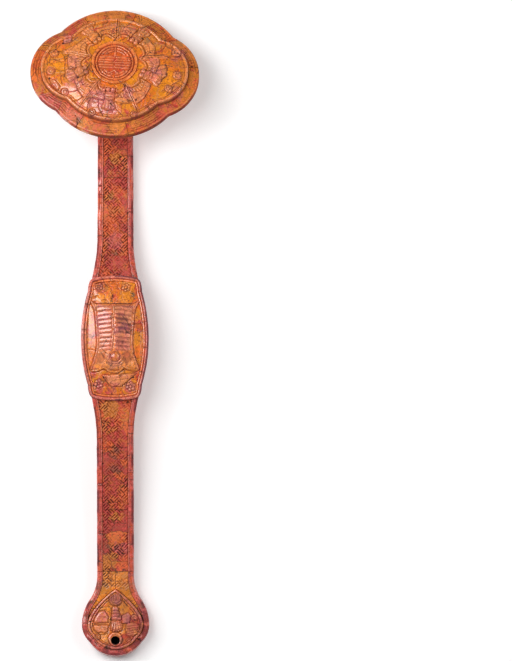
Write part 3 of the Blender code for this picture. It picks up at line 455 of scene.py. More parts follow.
def within(x, y, outline):
    """Distance from each place to a closed outline, positive inside it."""
    loop = np.vstack([outline, outline[:1]])
    odd = np.zeros(x.shape, bool)
    for (x0, y0), (x1, y1) in zip(loop[:-1], loop[1:]):
        if y0 != y1:
            odd ^= ((y0 > y) != (y1 > y)) & (x < x0 + (y - y0) * (x1 - x0) / (y1 - y0))
    return np.where(odd, 1.0, -1.0) * distance(x, y, loop)


class Carving:
    """Relief and colour marks of a surface, worked out at its plan points."""

    # Marks: hollow is painted shade in cuts, at the foot of raised forms and on sides that turn from the
    # lamps; raised lightens the stone with a rubbed tone and a painted highlight, mostly on high spots;
    # seam blackens joints, cracks and chips; blush, gold and stain are the stone's own tints.
    MARKS = ("hollow", "raised", "seam", "blush", "gold", "stain")
    BLUSH_AND_GOLD = slice(3, 5)

    def __init__(self, x, y):
        self.shape = x.shape
        x, y = x.ravel(), y.ravel()
        self.x = x + WOBBLE * noise(x, y, 3.1, 1)
        self.y = y + WOBBLE * noise(x, y, 3.1, 2)
        self.height = np.zeros(x.shape)
        self.marks = {name: np.zeros(x.shape) for name in self.MARKS}

    def box(self, points, margin):
        """The surface's points that lie near a line or an outline, and their plan."""
        low, high = points.min(0) - margin, points.max(0) + margin
        near = np.flatnonzero((self.x > low[0]) & (self.x < high[0])
                              & (self.y > low[1]) & (self.y < high[1]))
        return near, self.x[near], self.y[near]

    def mark(self, name, value, near=slice(None)):
        """Adds a mark where it is stronger than what is there."""
        self.marks[name][near] = np.maximum(self.marks[name][near], value)

    def patchy(self, level, contrast, size, seed):
        """A share that varies over the surface."""
        return smooth(level + contrast * noise(self.x, self.y, size, seed))

    def sink(self, near, cut, depth, shade, dull=0.0, name="hollow"):
        """Lowers points by their share of a cut, and darkens them with the named mark: painted shade,
        unless it is the seam of a joint.
        """
        self.height[near] -= depth * cut
        self.marks["raised"][near] *= 1.0 - dull * cut
        self.mark(name, shade * cut, near)

    def lift(self, near, up, rise, foot, shadow, blush):
        """Raises points by their share of a form, lightens it with a rubbed tone and a painted highlight,
        and gives it a cut and a painted shadow at its foot.
        """
        self.height[near] += rise * up - foot
        self.marks["hollow"][near] *= 1.0 - up
        for name, value in (("hollow", shadow), ("raised", up), ("blush", blush * up)):
            self.mark(name, value, near)

    def score(self, away, width, depth, shade, kept=1.0, name="hollow"):
        """A soft-edged line over the whole surface, from the distance to its middle."""
        self.sink(slice(None), kept * bell(away, width), depth, shade, name=name)

    def groove(self, line, width=0.7, depth=0.4, shade=0.9):
        """A cut with a round bottom along a line, darkened with painted shade."""
        line = np.asarray(line, float)
        near, x, y = self.box(line, width)
        self.sink(near, bowl(distance(x, y, line), width / 2), depth, shade, 1.0)

    def ridge(self, line, width=1.1, rise=0.6, blush=0.5):
        """A round bead along a line, with a painted shadow at its foot."""
        line = np.asarray(line, float)
        near, x, y = self.box(line, width)
        away = distance(x, y, line)
        up = np.sqrt(bowl(away, width / 2))
        foot = bell(away - width * 0.62, width * 0.2)
        self.lift(near, up, rise, 0.2 * rise * foot, 0.6 * foot * (1.0 - up), blush)

    def block(self, outline, rise, shoulder, blush=0.0, shade=1.0):
        """Raises the inside of an outline, with a rounded shoulder and a cut round its foot that is
        darkened with painted shade.
        """
        outline = np.asarray(outline, float)
        near, x, y = self.box(outline, 0.9)
        inside = within(x, y, outline)
        up = np.sqrt(bowl(1.0 - np.clip(inside / shoulder, 0.0, 1.0), 1.0))
        cut = bell(inside + 0.225, 0.27)
        self.lift(near, up, rise, 0.25 * cut, shade * cut, blush)

    def ribs(self, outline, phase, depth, shade=0.8):
        """Cuts lines side by side inside an outline and darkens them with painted shade. phase counts the
        lines over the plan.
        """
        outline = np.asarray(outline, float)
        near, x, y = self.box(outline, 0.1)
        inside = smooth(within(x, y, outline) / 0.5)
        cut = (0.5 + 0.5 * np.cos(2 * math.pi * phase(x, y))) ** 2 * inside
        self.sink(near, cut, depth, shade, 0.8)

    def boss(self, centre, radius, rise, blush=0.0):
        """A round button."""
        self.block(circle(centre, radius, 16)[:-1], rise, radius, blush)

    def crack(self, line):
        """A joint or a crack: a thin, dark and ragged line."""
        line = curve(line)
        near, x, y = self.box(line, 2 * CRACK_WIDTH)
        ragged = distance(x, y, line) + 0.16 * noise(x, y, 0.9, 5)
        self.sink(near, bowl(ragged, CRACK_WIDTH / 2), CRACK_DEPTH, 1.0, name="seam")

    def chip(self, centre, radius):
        """A small dark pit."""
        near, x, y = self.box(np.array([centre]), 2 * radius)
        away = np.hypot(x - centre[0], y - centre[1]) + 0.4 * radius * noise(x, y, radius, 7)
        self.sink(near, smooth(1.6 - 1.6 * away / radius), CHIP_DEPTH, 1.0, name="seam")

    def patch(self, name, centre, radius, strength):
        """Marks a soft-edged spot with the named mark: a tint of the stone, painted shade or a painted
        highlight.
        """
        near, x, y = self.box(np.array([centre]), 1.6 * radius)
        away = np.hypot(x - centre[0], y - centre[1]) / radius
        away = away + 0.45 * noise(x, y, radius * 0.6, 9) + 0.2 * noise(x, y, radius * 0.2, 11)
        self.mark(name, strength * smooth(2.4 - 2.4 * away), near)

    def flaws(self, spots, cracks, chips, base=0.0):
        """Spots of tint, painted shade and painted highlight, and cracks and chips of the stone, whose y is
        measured from base.
        """
        for name, places in spots.items():
            for x, y, radius, strength in places:
                self.patch(name, (x, base + y), radius, strength)
        for line in cracks:
            self.crack([(x, base + y) for x, y in line])
        for x, y, radius in chips:
            self.chip((x, base + y), radius)

    def curl(self, x, y, radius, first, hand):
        """A curl of cloud: a raised disc with a line that winds into it."""
        self.block(circle((x, y), radius, 20)[:-1], 0.8, 0.9, 0.4)
        turns = np.linspace(0.0, 1.0, 22)
        angle = np.radians(first + hand * 470.0 * turns)
        reach = radius * (1.0 - 0.78 * turns)
        self.groove(np.c_[x + reach * np.cos(angle), y + reach * np.sin(angle)], 0.6, 0.45)

    def wear(self):
        """The unevenness of hand polishing."""
        self.height += UNEVEN * noise(self.x, self.y, 5.5, 13)
        self.height += 0.45 * UNEVEN * noise(self.x, self.y, 1.7, 17)

    def result(self):
        """Relief and marks in the shape of the surface's grid."""
        marks = np.stack([self.marks[name] for name in self.MARKS], -1)
        return self.height.reshape(self.shape), marks.reshape(*self.shape, len(self.MARKS))


# Meshes

def loft(node, sections, marks=None):
    """A closed piece through sections of points, capped at both ends, with its colour marks. It
    stands for a CAD node and takes that node's finish."""
    rows, count = sections.shape[:2]
    points = sections.reshape(-1, 3) / METRE
    ring = np.arange(count)
    start = np.arange(rows - 1)[:, None] * count
    here, beside = (start + ring).ravel(), (start + (ring + 1) % count).ravel()
    quads = np.c_[here, beside, beside + count, here + count]
    first, last = ring[::-1], ring + (rows - 1) * count
    corners = points[quads]
    volume = sum(np.einsum("ij,ij->", corners[:, 0], np.cross(corners[:, turn], corners[:, turn + 1]))
                 for turn in (1, 2))
    if volume < 0:
        quads, first, last = quads[:, ::-1], first[::-1], last[::-1]
    mesh = bpy.data.meshes.new(node)
    mesh.from_pydata(points.tolist(), [], quads.tolist() + [first.tolist(), last.tolist()])
    layout = (len(points), len(Carving.MARKS))
    marks = np.zeros(layout) if marks is None else marks.reshape(layout)
    for attribute, channels in (("carving", marks[:, :3]), ("tint", marks[:, 3:])):
        values = np.ones((len(points), 4), np.float32)
        values[:, :3] = channels
        layer = mesh.attributes.new(attribute, "FLOAT_COLOR", "POINT")
        layer.data.foreach_set("color", values.ravel())
    mesh.shade_smooth()
    mesh.set_sharp_from_angle(angle=SHARP)
    piece = bpy.data.objects.new(f"{node}_carved", mesh)
    bpy.context.scene.collection.objects.link(piece)
    slot = SLOTS[node]
    mesh.materials.append(FINISHES[slot])
    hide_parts(node)
    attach(piece, "root")
    return piece


def finished(node, x, y, height, place, carved, carve=None, tints=(0.0, 0.0)):
    """Makes a piece from the plan and height of its sections. carved says which points of a
    section belong to the carved face, carve cuts the relief there, and tints are the least blush
    and gold of the whole piece."""
    x, y, height = (values.copy() for values in np.broadcast_arrays(x, y, height))
    cuts = Carving(x[:, carved], y[:, carved])
    if carve:
        carve(cuts)
    cuts.wear()
    relief, marked = cuts.result()
    height[:, carved] += relief
    marks = np.zeros((*x.shape, len(Carving.MARKS)))
    marks[:, carved] = marked
    tinted = marks[..., Carving.BLUSH_AND_GOLD]
    np.maximum(tinted, tints, out=tinted)
    return loft(node, place(x, y, height), marks)


def section(before, carved, after=()):
    """A profile, and which of its points are carved."""
    sizes = len(before), len(carved), len(after)
    return np.array([*before, *carved, *after]), np.repeat((False, True, False), sizes)


def across_section(low, columns):
    """Shares across a slab, along its face and back below it, and which are on the face."""
    shares = np.concatenate([np.linspace(low, 1.0, columns + 1), (1.0, low)])
    return shares, np.arange(len(shares)) <= columns


def quarter_round(radius, top, steps=6):
    """A rounded edge, as (distance inwards, height), up to its top."""
    turns = np.linspace(0.0, math.pi / 2, steps)
    return [(radius * (1 - math.cos(turn)), top - radius * (1 - math.sin(turn))) for turn in turns]


def bead_profile(half, crest, ledge, steps, fullness=1.0):
    """A round bead, as (0, distance inwards, height): up its outer side and down to a ledge."""
    made = []
    for turn in np.linspace(0.0, math.pi, steps):
        up = math.sin(turn)
        inner = ledge + (crest - ledge) * up**fullness
        height = crest - half + half * up if turn <= math.pi / 2 else inner
        made.append((0.0, half * (1 - math.cos(turn)), height))
    return made


# Carved fields of the shaft

FRET_CELL = 4.9
SLOT_PITCH = FRET_CELL / 3
SLOT_WIDTH = 1.0
SLOT_DEPTH = 0.6
BORDER_LINE = 3.1
BORDER_JOINTS = {
    -1: (102.9, 96.8, 90.8, 67, -53.2, -80.7, -104.8, -115, -140.2, -151.4, -160.2, -167.8),
    1: (124.7, 83.8, 45, -69.5, -76.5, -84.9, -95.4, -102, -135.1, -147.2, -157.3, -168.9),
}
# Spots are (x, y, radius, strength), chips (x, y, radius)
SHAFT_SPOTS = {
    "blush": (
        (0, 66, 9, 0.8), (5, -150, 6, 0.8),
    ),
    "gold": (
        (0, 122, 5, 0.8), (6, 116, 4, 0.5), (-5, 96, 4, 0.8), (-4, -52, 7, 1), (6, -56, 5, 0.6),
        (0, -128, 4, 0.8), (-4, -160, 7, 0.8),
    ),
    "stain": (
        (0, 55, 3.2, 0.7), (-3, 96, 3, 0.5), (0, -82, 5, 0.6), (-1, -94, 5, 0.6), (-5, -149, 4, 0.6),
    ),
}
SHAFT_CRACKS = (
    ((3, 124.5), (8, 125.5), (12.6, 124.4)), ((-13, 95), (-9, 95.2), (-6, 97.5)),
    ((12.8, 83.8), (9.6, 84.6), (8.2, 82.4)), ((-13.2, 103.8), (-9.5, 103.5)), ((9.5, -48), (5.5, -48.6)),
    ((-4.2, -118), (1, -117.4), (5.5, -117)), ((4, -154), (9, -153.6)), ((-8.4, -60.6), (-3.5, -62.2)),
)
SHAFT_CHIPS = (
    (3.5, 124, 0.8), (-6.8, 98.2, 0.9), (8.3, 83.6, 0.8), (9, -48, 1), (-4, -117.6, 0.8),
    (5, -153.8, 0.9), (-8.6, -90.6, 0.9),
)
SHAFT_JOINTS = [((side * 8.8, y), (side * 11.0, y + 0.4), (side * 14.0, y - 0.2))
                for side, places in BORDER_JOINTS.items() for y in places]
SHAFT_FLAWS = (SHAFT_SPOTS, (*SHAFT_JOINTS, *SHAFT_CRACKS), SHAFT_CHIPS)


def carve_fret(cuts):
    """A basket fret laid diagonally: blocks of short slots that turn from block to block."""
    p = (cuts.x + cuts.y) / math.sqrt(2)
    q = (cuts.y - cuts.x) / math.sqrt(2)
    column, row = np.floor(p / FRET_CELL), np.floor(q / FRET_CELL)
    u, v = p - column * FRET_CELL, q - row * FRET_CELL
    turned = (column + row) % 2 == 1
    u, v = np.where(turned, v, u), np.where(turned, u, v)
    slot = np.floor(v / SLOT_PITCH)
    across = np.abs(v - (slot + 0.5) * SLOT_PITCH)
    shift = np.where(slot == 1, 0.9, -0.25)
    ends = np.maximum(shift + 0.35 - u, u - (FRET_CELL + shift - 0.45))
    cut = smooth((SLOT_WIDTH / 2 - np.maximum(across, ends + SLOT_WIDTH / 2)) / 0.28)
    cut *= np.clip(0.7 + 0.75 * noise(cuts.x, cuts.y, 8.0, 21), 0.15, 1.0)
    cuts.height -= SLOT_DEPTH * cut
    # Painted shade darkens the slots and, a little, the whole fret; some groups of slots are darkened
    # further, nearly to black.
    cuts.mark("hollow", np.maximum(cut, 0.12))
    cuts.mark("seam", 0.75 * cut * cuts.patchy(0.4, 1.7, 6.5, 23))


def carve_shaft_field(cuts):
    """The fret with the shaft's cracks and spots."""
    carve_fret(cuts)
    cuts.flaws(*SHAFT_FLAWS)


def carve_edge(cuts, inward):
    """An edge strip: a thin bead beside the field, lightened with its rubbed tone and a painted highlight,
    darker patches on the outer edge that are partly the stone's own and partly painted shade, and the dark
    glue line."""
    fading = cuts.patchy(0.9, 1.4, 12.0, 45)
    bead = fading * smooth((inward - BORDER_LINE - 0.15) / 0.25)
    cuts.score(inward - BORDER_LINE, 0.28, 0.25, 0.5, fading)
    cuts.height -= 0.3 * smooth((inward - 3.6) / 0.4)
    # The bead's rubbed tone and painted highlight.
    cuts.mark("raised", bead)
    cuts.mark("blush", 0.7 * cuts.patchy(0.5, 1.6, 14.0, 47))
    cuts.marks["blush"] *= 1.0 - 0.4 * bead
    # Darker patches along the outer edge: partly the stone's own colour, partly painted shade where the
    # edge turns away from the lamps.
    cuts.mark("hollow", 0.85 * cuts.patchy(0.45, 2.6, 8.0, 43) * smooth(2.3 - inward))
    cuts.height -= 0.08 * np.maximum(BORDER_LINE - inward, 0.0)
    glue = smooth((inward - BORDER_WIDTH) / 0.1)
    cuts.marks["raised"] *= 1.0 - glue
    cuts.mark("seam", glue)


def border_profile():
    """A border's section as (distance in from the edge, depth). Below the field's surface it fills
    the glue line beside the core."""
    side = [(0.0, depth) for depth in np.linspace(BACK + BACK_CHAMFER, FRONT - BORDER_ROUND, 7)]
    top = [(inward, FRONT) for inward in np.linspace(BORDER_ROUND, BORDER_WIDTH, 13)]
    seal = [(BORDER_WIDTH, FIELD_TOP - 0.3), (SEALED, FIELD_TOP - 0.6), (SEALED, BACK + 0.6)]
    face = [*quarter_round(BORDER_ROUND, FRONT)[1:-1], *top, *seal]
    return section([(BORDER_WIDTH, BACK), (BACK_CHAMFER, BACK), *side], face)


def make_border(node, side, low, high, made, blush):
    """A strip along one edge of the body. low and high are given for each point of its section."""
    profile, carved = made
    inward, depth = profile.T
    closed = (inward >= BACK_CHAMFER) & (depth < 0.0)
    low, high = low - GLUE / 2 * closed, high + GLUE / 2 * closed
    steps = max(int(np.max(high - low) / BORDER_STEP), 4)
    y = low + (high - low) * np.linspace(0.0, 1.0, steps + 1)[:, None]
    worn = WEAR * (1.0 + noise(y * side, depth + 0 * y, 4.0, 31)) * (inward < BORDER_ROUND / 2)
    x = side * (body_half_width(y, 0.0) - inward) - side * worn

    def carve(cuts):
        carve_edge(cuts, (inward + 0 * y)[:, carved].ravel())
        cuts.flaws(*SHAFT_FLAWS)

    finished(node, x, y, depth, bend, carved, carve, (blush, 0.0))


# Bottom and top of the slabs across the body, fineness, carving and blush
SLABS = {
    "fret": (BED, FIELD_TOP, FIELD_STEP, carve_shaft_field, 0.2),
    "back": (BACK + BACK_SLAB, BACK, PLAIN_STEP, None, 0.3),
}


def make_slab(node, kind, low, high, at_head=False, against=0):
    """A slab across the body. against tells whether the plaque lies at its low end (1) or at its
    high end (-1)."""
    bottom, top, step, carve, blush = SLABS[kind]
    across, carved = across_section(-1.0, max(int(2 * (SHAFT_WIDTH / 2 - CORE_INSET) / step), 2))
    depth = np.where(carved, top, bottom)
    start = np.full(across.shape, low)
    end = mitre(depth) if at_head else np.full(across.shape, high)
    if against:
        edge = meet_plaque(lambda y: across * body_half_width(y, CORE_INSET), against)
        start, end = (edge, end) if against > 0 else (start, edge)
    rows = max(int(np.max(end - start) / step), 2)
    y = start + (end - start) * np.linspace(0.0, 1.0, rows + 1)[:, None]
    finished(node, across * body_half_width(y, CORE_INSET), y, depth, bend, carved, carve, (blush, 0.0))


def meet_plaque(x_at, sign):
    """Where lines along the shaft meet the plaque's upper (1) or lower (-1) end, with a glue line.
    x_at gives the lines' x for their y."""
    outline = plaque_outline(-GLUE)
    end = outline[(outline[:, 1] > PLAQUE_NOTCH_Y) & (outline[:, 0] >= 0)]
    end = end[np.argsort(end[:, 0], kind="stable")]
    y = PLAQUE_Y + sign * PLAQUE_LENGTH / 2
    for _ in range(6):
        y = PLAQUE_Y + sign * np.interp(np.abs(x_at(y)), end[:, 0], end[:, 1])
    return y


def runs(count, reach, shift=0.0):
    """Equal pieces of the upper or lower shaft with glue lines between them, as (number, start,
    stop, whether it meets the head, the shaft's sign if it meets the plaque). Inner joints may be
    shifted."""
    low, high, sign = reach
    edges = low + (high - low) * np.arange(count + 1) / count
    edges[1:-1] += shift
    gaps = np.full(count + 1, GLUE / 2)
    gaps[[0, -1]] = 0.0
    starts, stops = edges[:-1] + gaps[:-1], edges[1:] - gaps[1:]
    nearest_plaque = 1 if sign > 0 else count
    for number, (start, stop) in enumerate(zip(starts, stops), 1):
        yield number, start, stop, sign > 0 and number == count, sign * (number == nearest_plaque)


def make_slabs(part, kind, count, reach):
    """The slabs on one face of the upper or lower shaft."""
    for number, start, stop, at_head, against in runs(count, reach):
        against = against if kind == "fret" else 0
        make_slab(f"{part}_{kind}_slab_{number}", kind, start, stop, at_head, against)


def make_borders(part, count, reach):
    """The edge strips of the upper or lower shaft."""
    made = border_profile()
    inward, depth = made[0].T
    over = depth > BED - GLUE
    for hand, side in SIDES:
        for number, start, stop, at_head, against in runs(count, reach, BORDER_STAGGER * side):
            low = np.full(len(depth), start)
            high = mitre(depth) if at_head else np.full(len(depth), stop)
            if against:
                edge = meet_plaque(lambda y: body_half_width(y, 0.0) - inward, against)
                low = np.where(over & (against > 0), edge, low)
                high = np.where(over & (against < 0), edge, high)
            blush = 0.3 + 0.4 * random_cell(number, side, 41)
            make_border(f"{part}_border_{hand}_{number}", side, low, high, made, blush)


def make_shaft():
    """Front slabs, edge strips and back slabs of the upper and the lower shaft."""
    notch = PLAQUE_NOTCH_Y + GLUE / 2
    reaches = {
        "upper": (PLAQUE_Y + notch, HEAD_Y + SHAFT_DEPTH, 1),
        "lower": (TERMINAL_TOP + GLUE / 2, PLAQUE_Y - notch, -1),
    }
    for part, reach in reaches.items():
        fields, borders, backs = PIECES[part]
        make_slabs(part, "fret", fields, reach)
        make_borders(part, borders, reach)
        make_slabs(part, "back", backs, reach)


# Mouldings

def make_moulding(node, outlines, ends, made, place, carve, tints):
    """A piece of moulding between two matching outlines. Its section lists (share of the way
    inwards, further distance inwards, height), and carve also gets the place along and across,
    the moulding's width and the piece's length."""
    outer, inner = outlines
    profile, carved = made
    index = np.arange(ends[0], ends[1] + 1) % len(outer)
    start = outer[index]
    way = inner[index] - start
    width = np.hypot(*way.T)[:, None]
    inward = way / width
    onward = np.c_[inward[:, 1], -inward[:, 0]]
    steps = np.hypot(*np.diff(start + way / 2, axis=0).T)
    along = np.concatenate([(0.0,), np.cumsum(steps)])[:, None]
    share, further, height = profile.T
    reach = share * width + further
    plan = start[:, None] + inward[:, None] * reach[..., None]
    gap = GLUE / 2 * ((height >= 0.0) | (share + further < BACK_CHAMFER))[:, None]
    plan[0] += onward[0] * gap
    plan[-1] -= onward[-1] * gap
    grids = [grid[:, carved].ravel() for grid in np.broadcast_arrays(along, reach, width)]
    finished(node, plan[..., 0], plan[..., 1], height, place, carved,
             lambda cuts: carve(cuts, *grids, along[-1, 0]), tints)


# Head

RIM_BAND = 1.9
RIM_LINE_PITCH = 1.5
RIM_LINE_WIDTH = 0.36
# A rim piece longer than this has two frames
LONG_RIM = 45.0
# Least blush and gold of each rim piece
RIM_TINTS = ((0.1, 0.4), (0.0, 0.5), (0.1, 0.4), (0.2, 0.3), (0.0, 0.5), (0.5, 0.2), (0.1, 0.5),
             (0.1, 0.5), (0.0, 0.5))
# Wings of the five bats, clockwise side first, as distances from the medallion's middle: where the
# outer edge leaves the body, its middle, its corner, and the wing's tip
WINGS = (
    ((30.3, 30.4, 27.8, 20), (30.2, 29.2, 28.6, 19.5)),
    ((29.5, 29.9, 32.1, 18.4), (28.1, 30.6, 35.6, 18.6)),
    ((31.9, 32.6, 32.4, 18.8), (30.5, 32.1, 33, 19.5)), ((29, 29.5, 31, 19.4), (29, 31, 32, 19.4)),
    ((30, 33, 34, 20.5), (29.5, 31, 31.5, 19.2)),
)
WING_RIBS = 4.4
TAIL_RIBS = 4.2
BACK_RIBS = 2.4
BODY_NEAR = 19.6
BODY_FAR = 34.6
# Curls of cloud between the bats and the bead, as (x, y, radius, first direction, hand)
CURLS = (
    (-44, -4.5, 2.9, 200, 1), (-42.5, 9.5, 3, 60, -1), (-33.5, -19.5, 2.6, 120, 1), (-18, 34, 2.2, 10, 1),
    (22.5, 35, 2.4, 150, -1), (42.5, 14.5, 3.3, 250, 1), (37.5, 20.5, 2.2, 40, -1), (44, -3, 3, 120, -1),
    (38.5, -13.5, 2.6, 300, 1), (15.5, -34, 2.4, 200, 1), (-13.5, -34, 2.4, 330, -1),
    (27.5, -27.5, 2.4, 60, 1),
)
# Lines and raised patches between the bats and beside the curls
HEAD_LINES = (
    ((-45, 14.5), (-42, 17), (-41.8, 12.5), (-44.5, 7), (-45.6, 2)),
    ((-39, 16.5), (-43.5, 6.5), (-36, 3), (-33, 6)),
    ((22, 34.4), (29, 29.5), (34.3, 22.5), (32.5, 15.5), (25.3, 11.5)),
    ((-47, -8.5), (-42, -12), (-38, -18)), ((-44, -11.5), (-40, -18), (-34, -22)),
    ((33.8, 11.5), (40, 9), (46.5, 9.5)), ((34, -16), (40.5, -10.5), (47, -6)),
    ((36, -20), (41.5, -15), (46.5, -10)), ((-30, 25.5), (-24, 31.5), (-14, 36.5)),
    ((-20.5, -14.5), (-25.5, -18.5), (-32, -19.5)), ((-18, -18), (-22, -24), (-28, -26)),
    ((-13.5, -21), (-16.5, -27.5), (-17, -33)), ((-9.5, -23.5), (-9, -30), (-6, -35.5)),
    ((-30.5, -4.5), (-36.5, -8), (-35.5, -14)),
)
HEAD_BLOCKS = (
    ((-37.5, 24.6), (-31.2, 23.8), (-31, 18.6), (-36.2, 17)),
    ((27.2, 1.5), (35.6, 4), (36.8, -4.4), (30.2, -9.6), (25.4, -5.6)),
    ((-44.8, -9.6), (-40.6, -11.2), (-36.8, -15.6), (-38.4, -18.2), (-42.6, -14.6)),
)
HEAD_SPOTS = {
    # Painted highlight: the pale pink sheen over the lower left of the dome, made pinker where the first
    # blush spots overlap it.
    "raised": (
        (-25, -13, 10, 0.8), (-13, -26, 11, 0.9), (0, -31, 7, 0.7),
    ),
    "blush": (
        (-25, -14, 9, 0.8), (-13, -26, 10, 0.85), (11, -20, 5.5, 0.8), (0, -31, 4, 0.8),
        (31, -2.5, 5.5, 0.9), (-34, 21, 4, 0.8), (-29, 2, 5, 0.7), (28, 5, 5, 0.6), (45, 14, 7, 0.7),
        (44, -14, 6, 0.6), (8, 29, 6, 0.3),
    ),
    "gold": (
        (-20, 36, 9, 0.9), (28, 30, 9, 0.8), (0, 38, 8, 0.5), (-38, -2, 8, 0.6), (-18, -10, 5, 0.8),
        (15, -10, 8, 0.9), (22, 2, 6, 0.6), (12, -30, 7, 0.6), (34, -14, 8, 0.7), (-8, 27, 6, 0.4),
    ),
    "stain": (
        (21.5, 21, 2.6, 0.8), (44, 26, 4, 0.6), (-38, 29, 4.5, 0.6), (-33.5, 17, 2.5, 0.5),
        (-14, -35.5, 3, 0.5), (-23, -38.5, 3, 0.7), (43, 6, 3, 0.4), (-28, 22, 2.5, 0.5),
    ),
}
HEAD_CRACKS = (
    ((8, 6.9), (17.4, 8.5), (27.6, 10.4), (33.9, 11.6)),
    ((23.7, -2.6), (30, 0.9), (35.5, 3.7), (36.9, -2.6), (33, -9)), ((-10.8, 32.7), (-5.7, 36.8)),
    ((8.8, 35.3), (5.5, 31.8), (4.2, 28.4)), ((14.3, 30.3), (22.1, 34.7)),
    ((-1, -27.8), (3.4, -31.4), (8, -35)), ((-6, -33), (-11, -35.2)),
    ((3.3, -10.6), (9.8, -15.4), (12.4, -18.4)), ((-25, -9), (-20.2, -4.4), (-17.4, 0.8)),
    ((-37.2, 17.8), (-30, 20), (-27, 23)), ((-34, 1.5), (-34.4, -8.5)),
    ((-46, 4.6), (-38, 4.8), (-32.5, 7.5)), ((36, 3.6), (41, 3.2)), ((37, -17.8), (40.5, -12)),
    ((14.2, 44.8), (15, 39.9)), ((15.8, 44.5), (16.4, 40.3)), ((-51, 18.4), (-46.8, 17.8)),
    ((51.5, 7.6), (56.8, 6.6)), ((51, 5.6), (55.6, 8.2)), ((-24, -34.8), (-23.4, -41)),
    ((-25.6, -33.8), (-21, -39.8)), ((44, -19), (47.4, -23.4)), ((33, 26.4), (40.6, 26.6)),
)
HEAD_CHIPS = (
    (-36.9, 17.6, 0.9), (-25, -9.2, 1), (35.6, 3.6, 0.9), (-1, -27.8, 1.1), (-44.6, -9.4, 0.9),
    (24.4, 12, 0.8), (8.2, -14.6, 0.8), (16.6, -23.6, 0.9), (-1, 20.4, 0.7), (18.4, 23.2, 0.8),
    (53.4, 7, 1), (-46, 11.6, 0.7),
)
HEAD_FLAWS = (HEAD_SPOTS, HEAD_CRACKS, HEAD_CHIPS)


def carve_rim(cuts, along, across, width, length):
    """Key fret of the brim: nested long frames that end square at the joints."""
    half = length / 2
    place = np.abs(along - half)
    if length > LONG_RIM:
        half = half / 2
        place = np.abs(place - half)
    sides = np.minimum(across - RIM_BAND - 0.4, width - RIM_BAND + 0.5 - across)
    edge = np.minimum(half - 1.3 - place, sides)
    kept = cuts.patchy(0.5, 1.4, 9.0, 61)
    for turn in range(3):
        cuts.score(edge - turn * RIM_LINE_PITCH, RIM_LINE_WIDTH, 0.35, 0.7, kept)
    # High spots between the lines and along the rounded outer edge are lightened: their rubbed tone and a
    # painted highlight.
    cuts.mark("raised", 0.4 * smooth(edge / 0.3) * (1.0 - cuts.marks["hollow"]))
    cuts.mark("raised", 0.6 * bell(across - 1.1, 0.7))
    # Painted shade at the foot of the dome's wall, and in patches along the outer edge where the brim turns
    # down.
    cuts.mark("hollow", 0.45 * bell(width - across, 0.6))
    cuts.mark("hollow", 0.85 * cuts.patchy(0.8, 1.2, 9.0, 63) * smooth((0.6 - across) / 0.5))
    cuts.flaws(*HEAD_FLAWS)


def nearest(points, degrees):
    """The index of the outline point that lies closest to a direction."""
    wanted = np.array((math.cos(math.radians(degrees)), math.sin(math.radians(degrees))))
    return int(np.argmax(points @ wanted / np.hypot(*points.T)))


def joint_ends(outline, joints):
    """First and last point of each piece between joints, on the finer outline."""
    stops = [nearest(outline, degrees) for degrees in joints]
    stops.append(stops[0] + len(outline))
    return [(first * HEAD_FINENESS, last * HEAD_FINENESS) for first, last in zip(stops[:-1], stops[1:])]


def make_rim():
    """The brim of the head, in nine pieces."""
    outlines = head_outline(WEAR, HEAD_FINENESS), panel_outline(0.0, HEAD_FINENESS)
    corner = [(0.0, *point) for point in ((0.0, BACK_CHAMFER), *quarter_round(RIM_ROUND, RIM_EDGE))]
    top = [(share, RIM_ROUND * (1 - share), RIM_EDGE + (RIM_TOP - RIM_EDGE) * share)
           for share in np.linspace(0.0, 1.0, RIM_ROWS + 1)[1:]]
    under = [
        (1.0, 0.0, RIM_TOP - HEAD_STONE),
        (0.0, HEAD_STONE, RIM_EDGE - HEAD_STONE),
        (0.0, HEAD_STONE, 0.0),
        (0.0, BACK_CHAMFER, 0.0),
        (0.0, BACK_CHAMFER * 0.3, BACK_CHAMFER * 0.3),
    ]
    made = section((), corner + top, under)
    for index, ends in enumerate(joint_ends(head_outline(0.0), RIM_JOINTS)):
        make_moulding(f"head_rim_{index + 1}", outlines, ends, made, lay, carve_rim, RIM_TINTS[index])


def turns_about(x, y, heading):
    """Direction in degrees from the medallion's middle, measured from a heading."""
    angle = np.degrees(np.arctan2(y - MEDALLION[1], x - MEDALLION[0])) - heading
    return (angle + 180.0) % 360.0 - 180.0


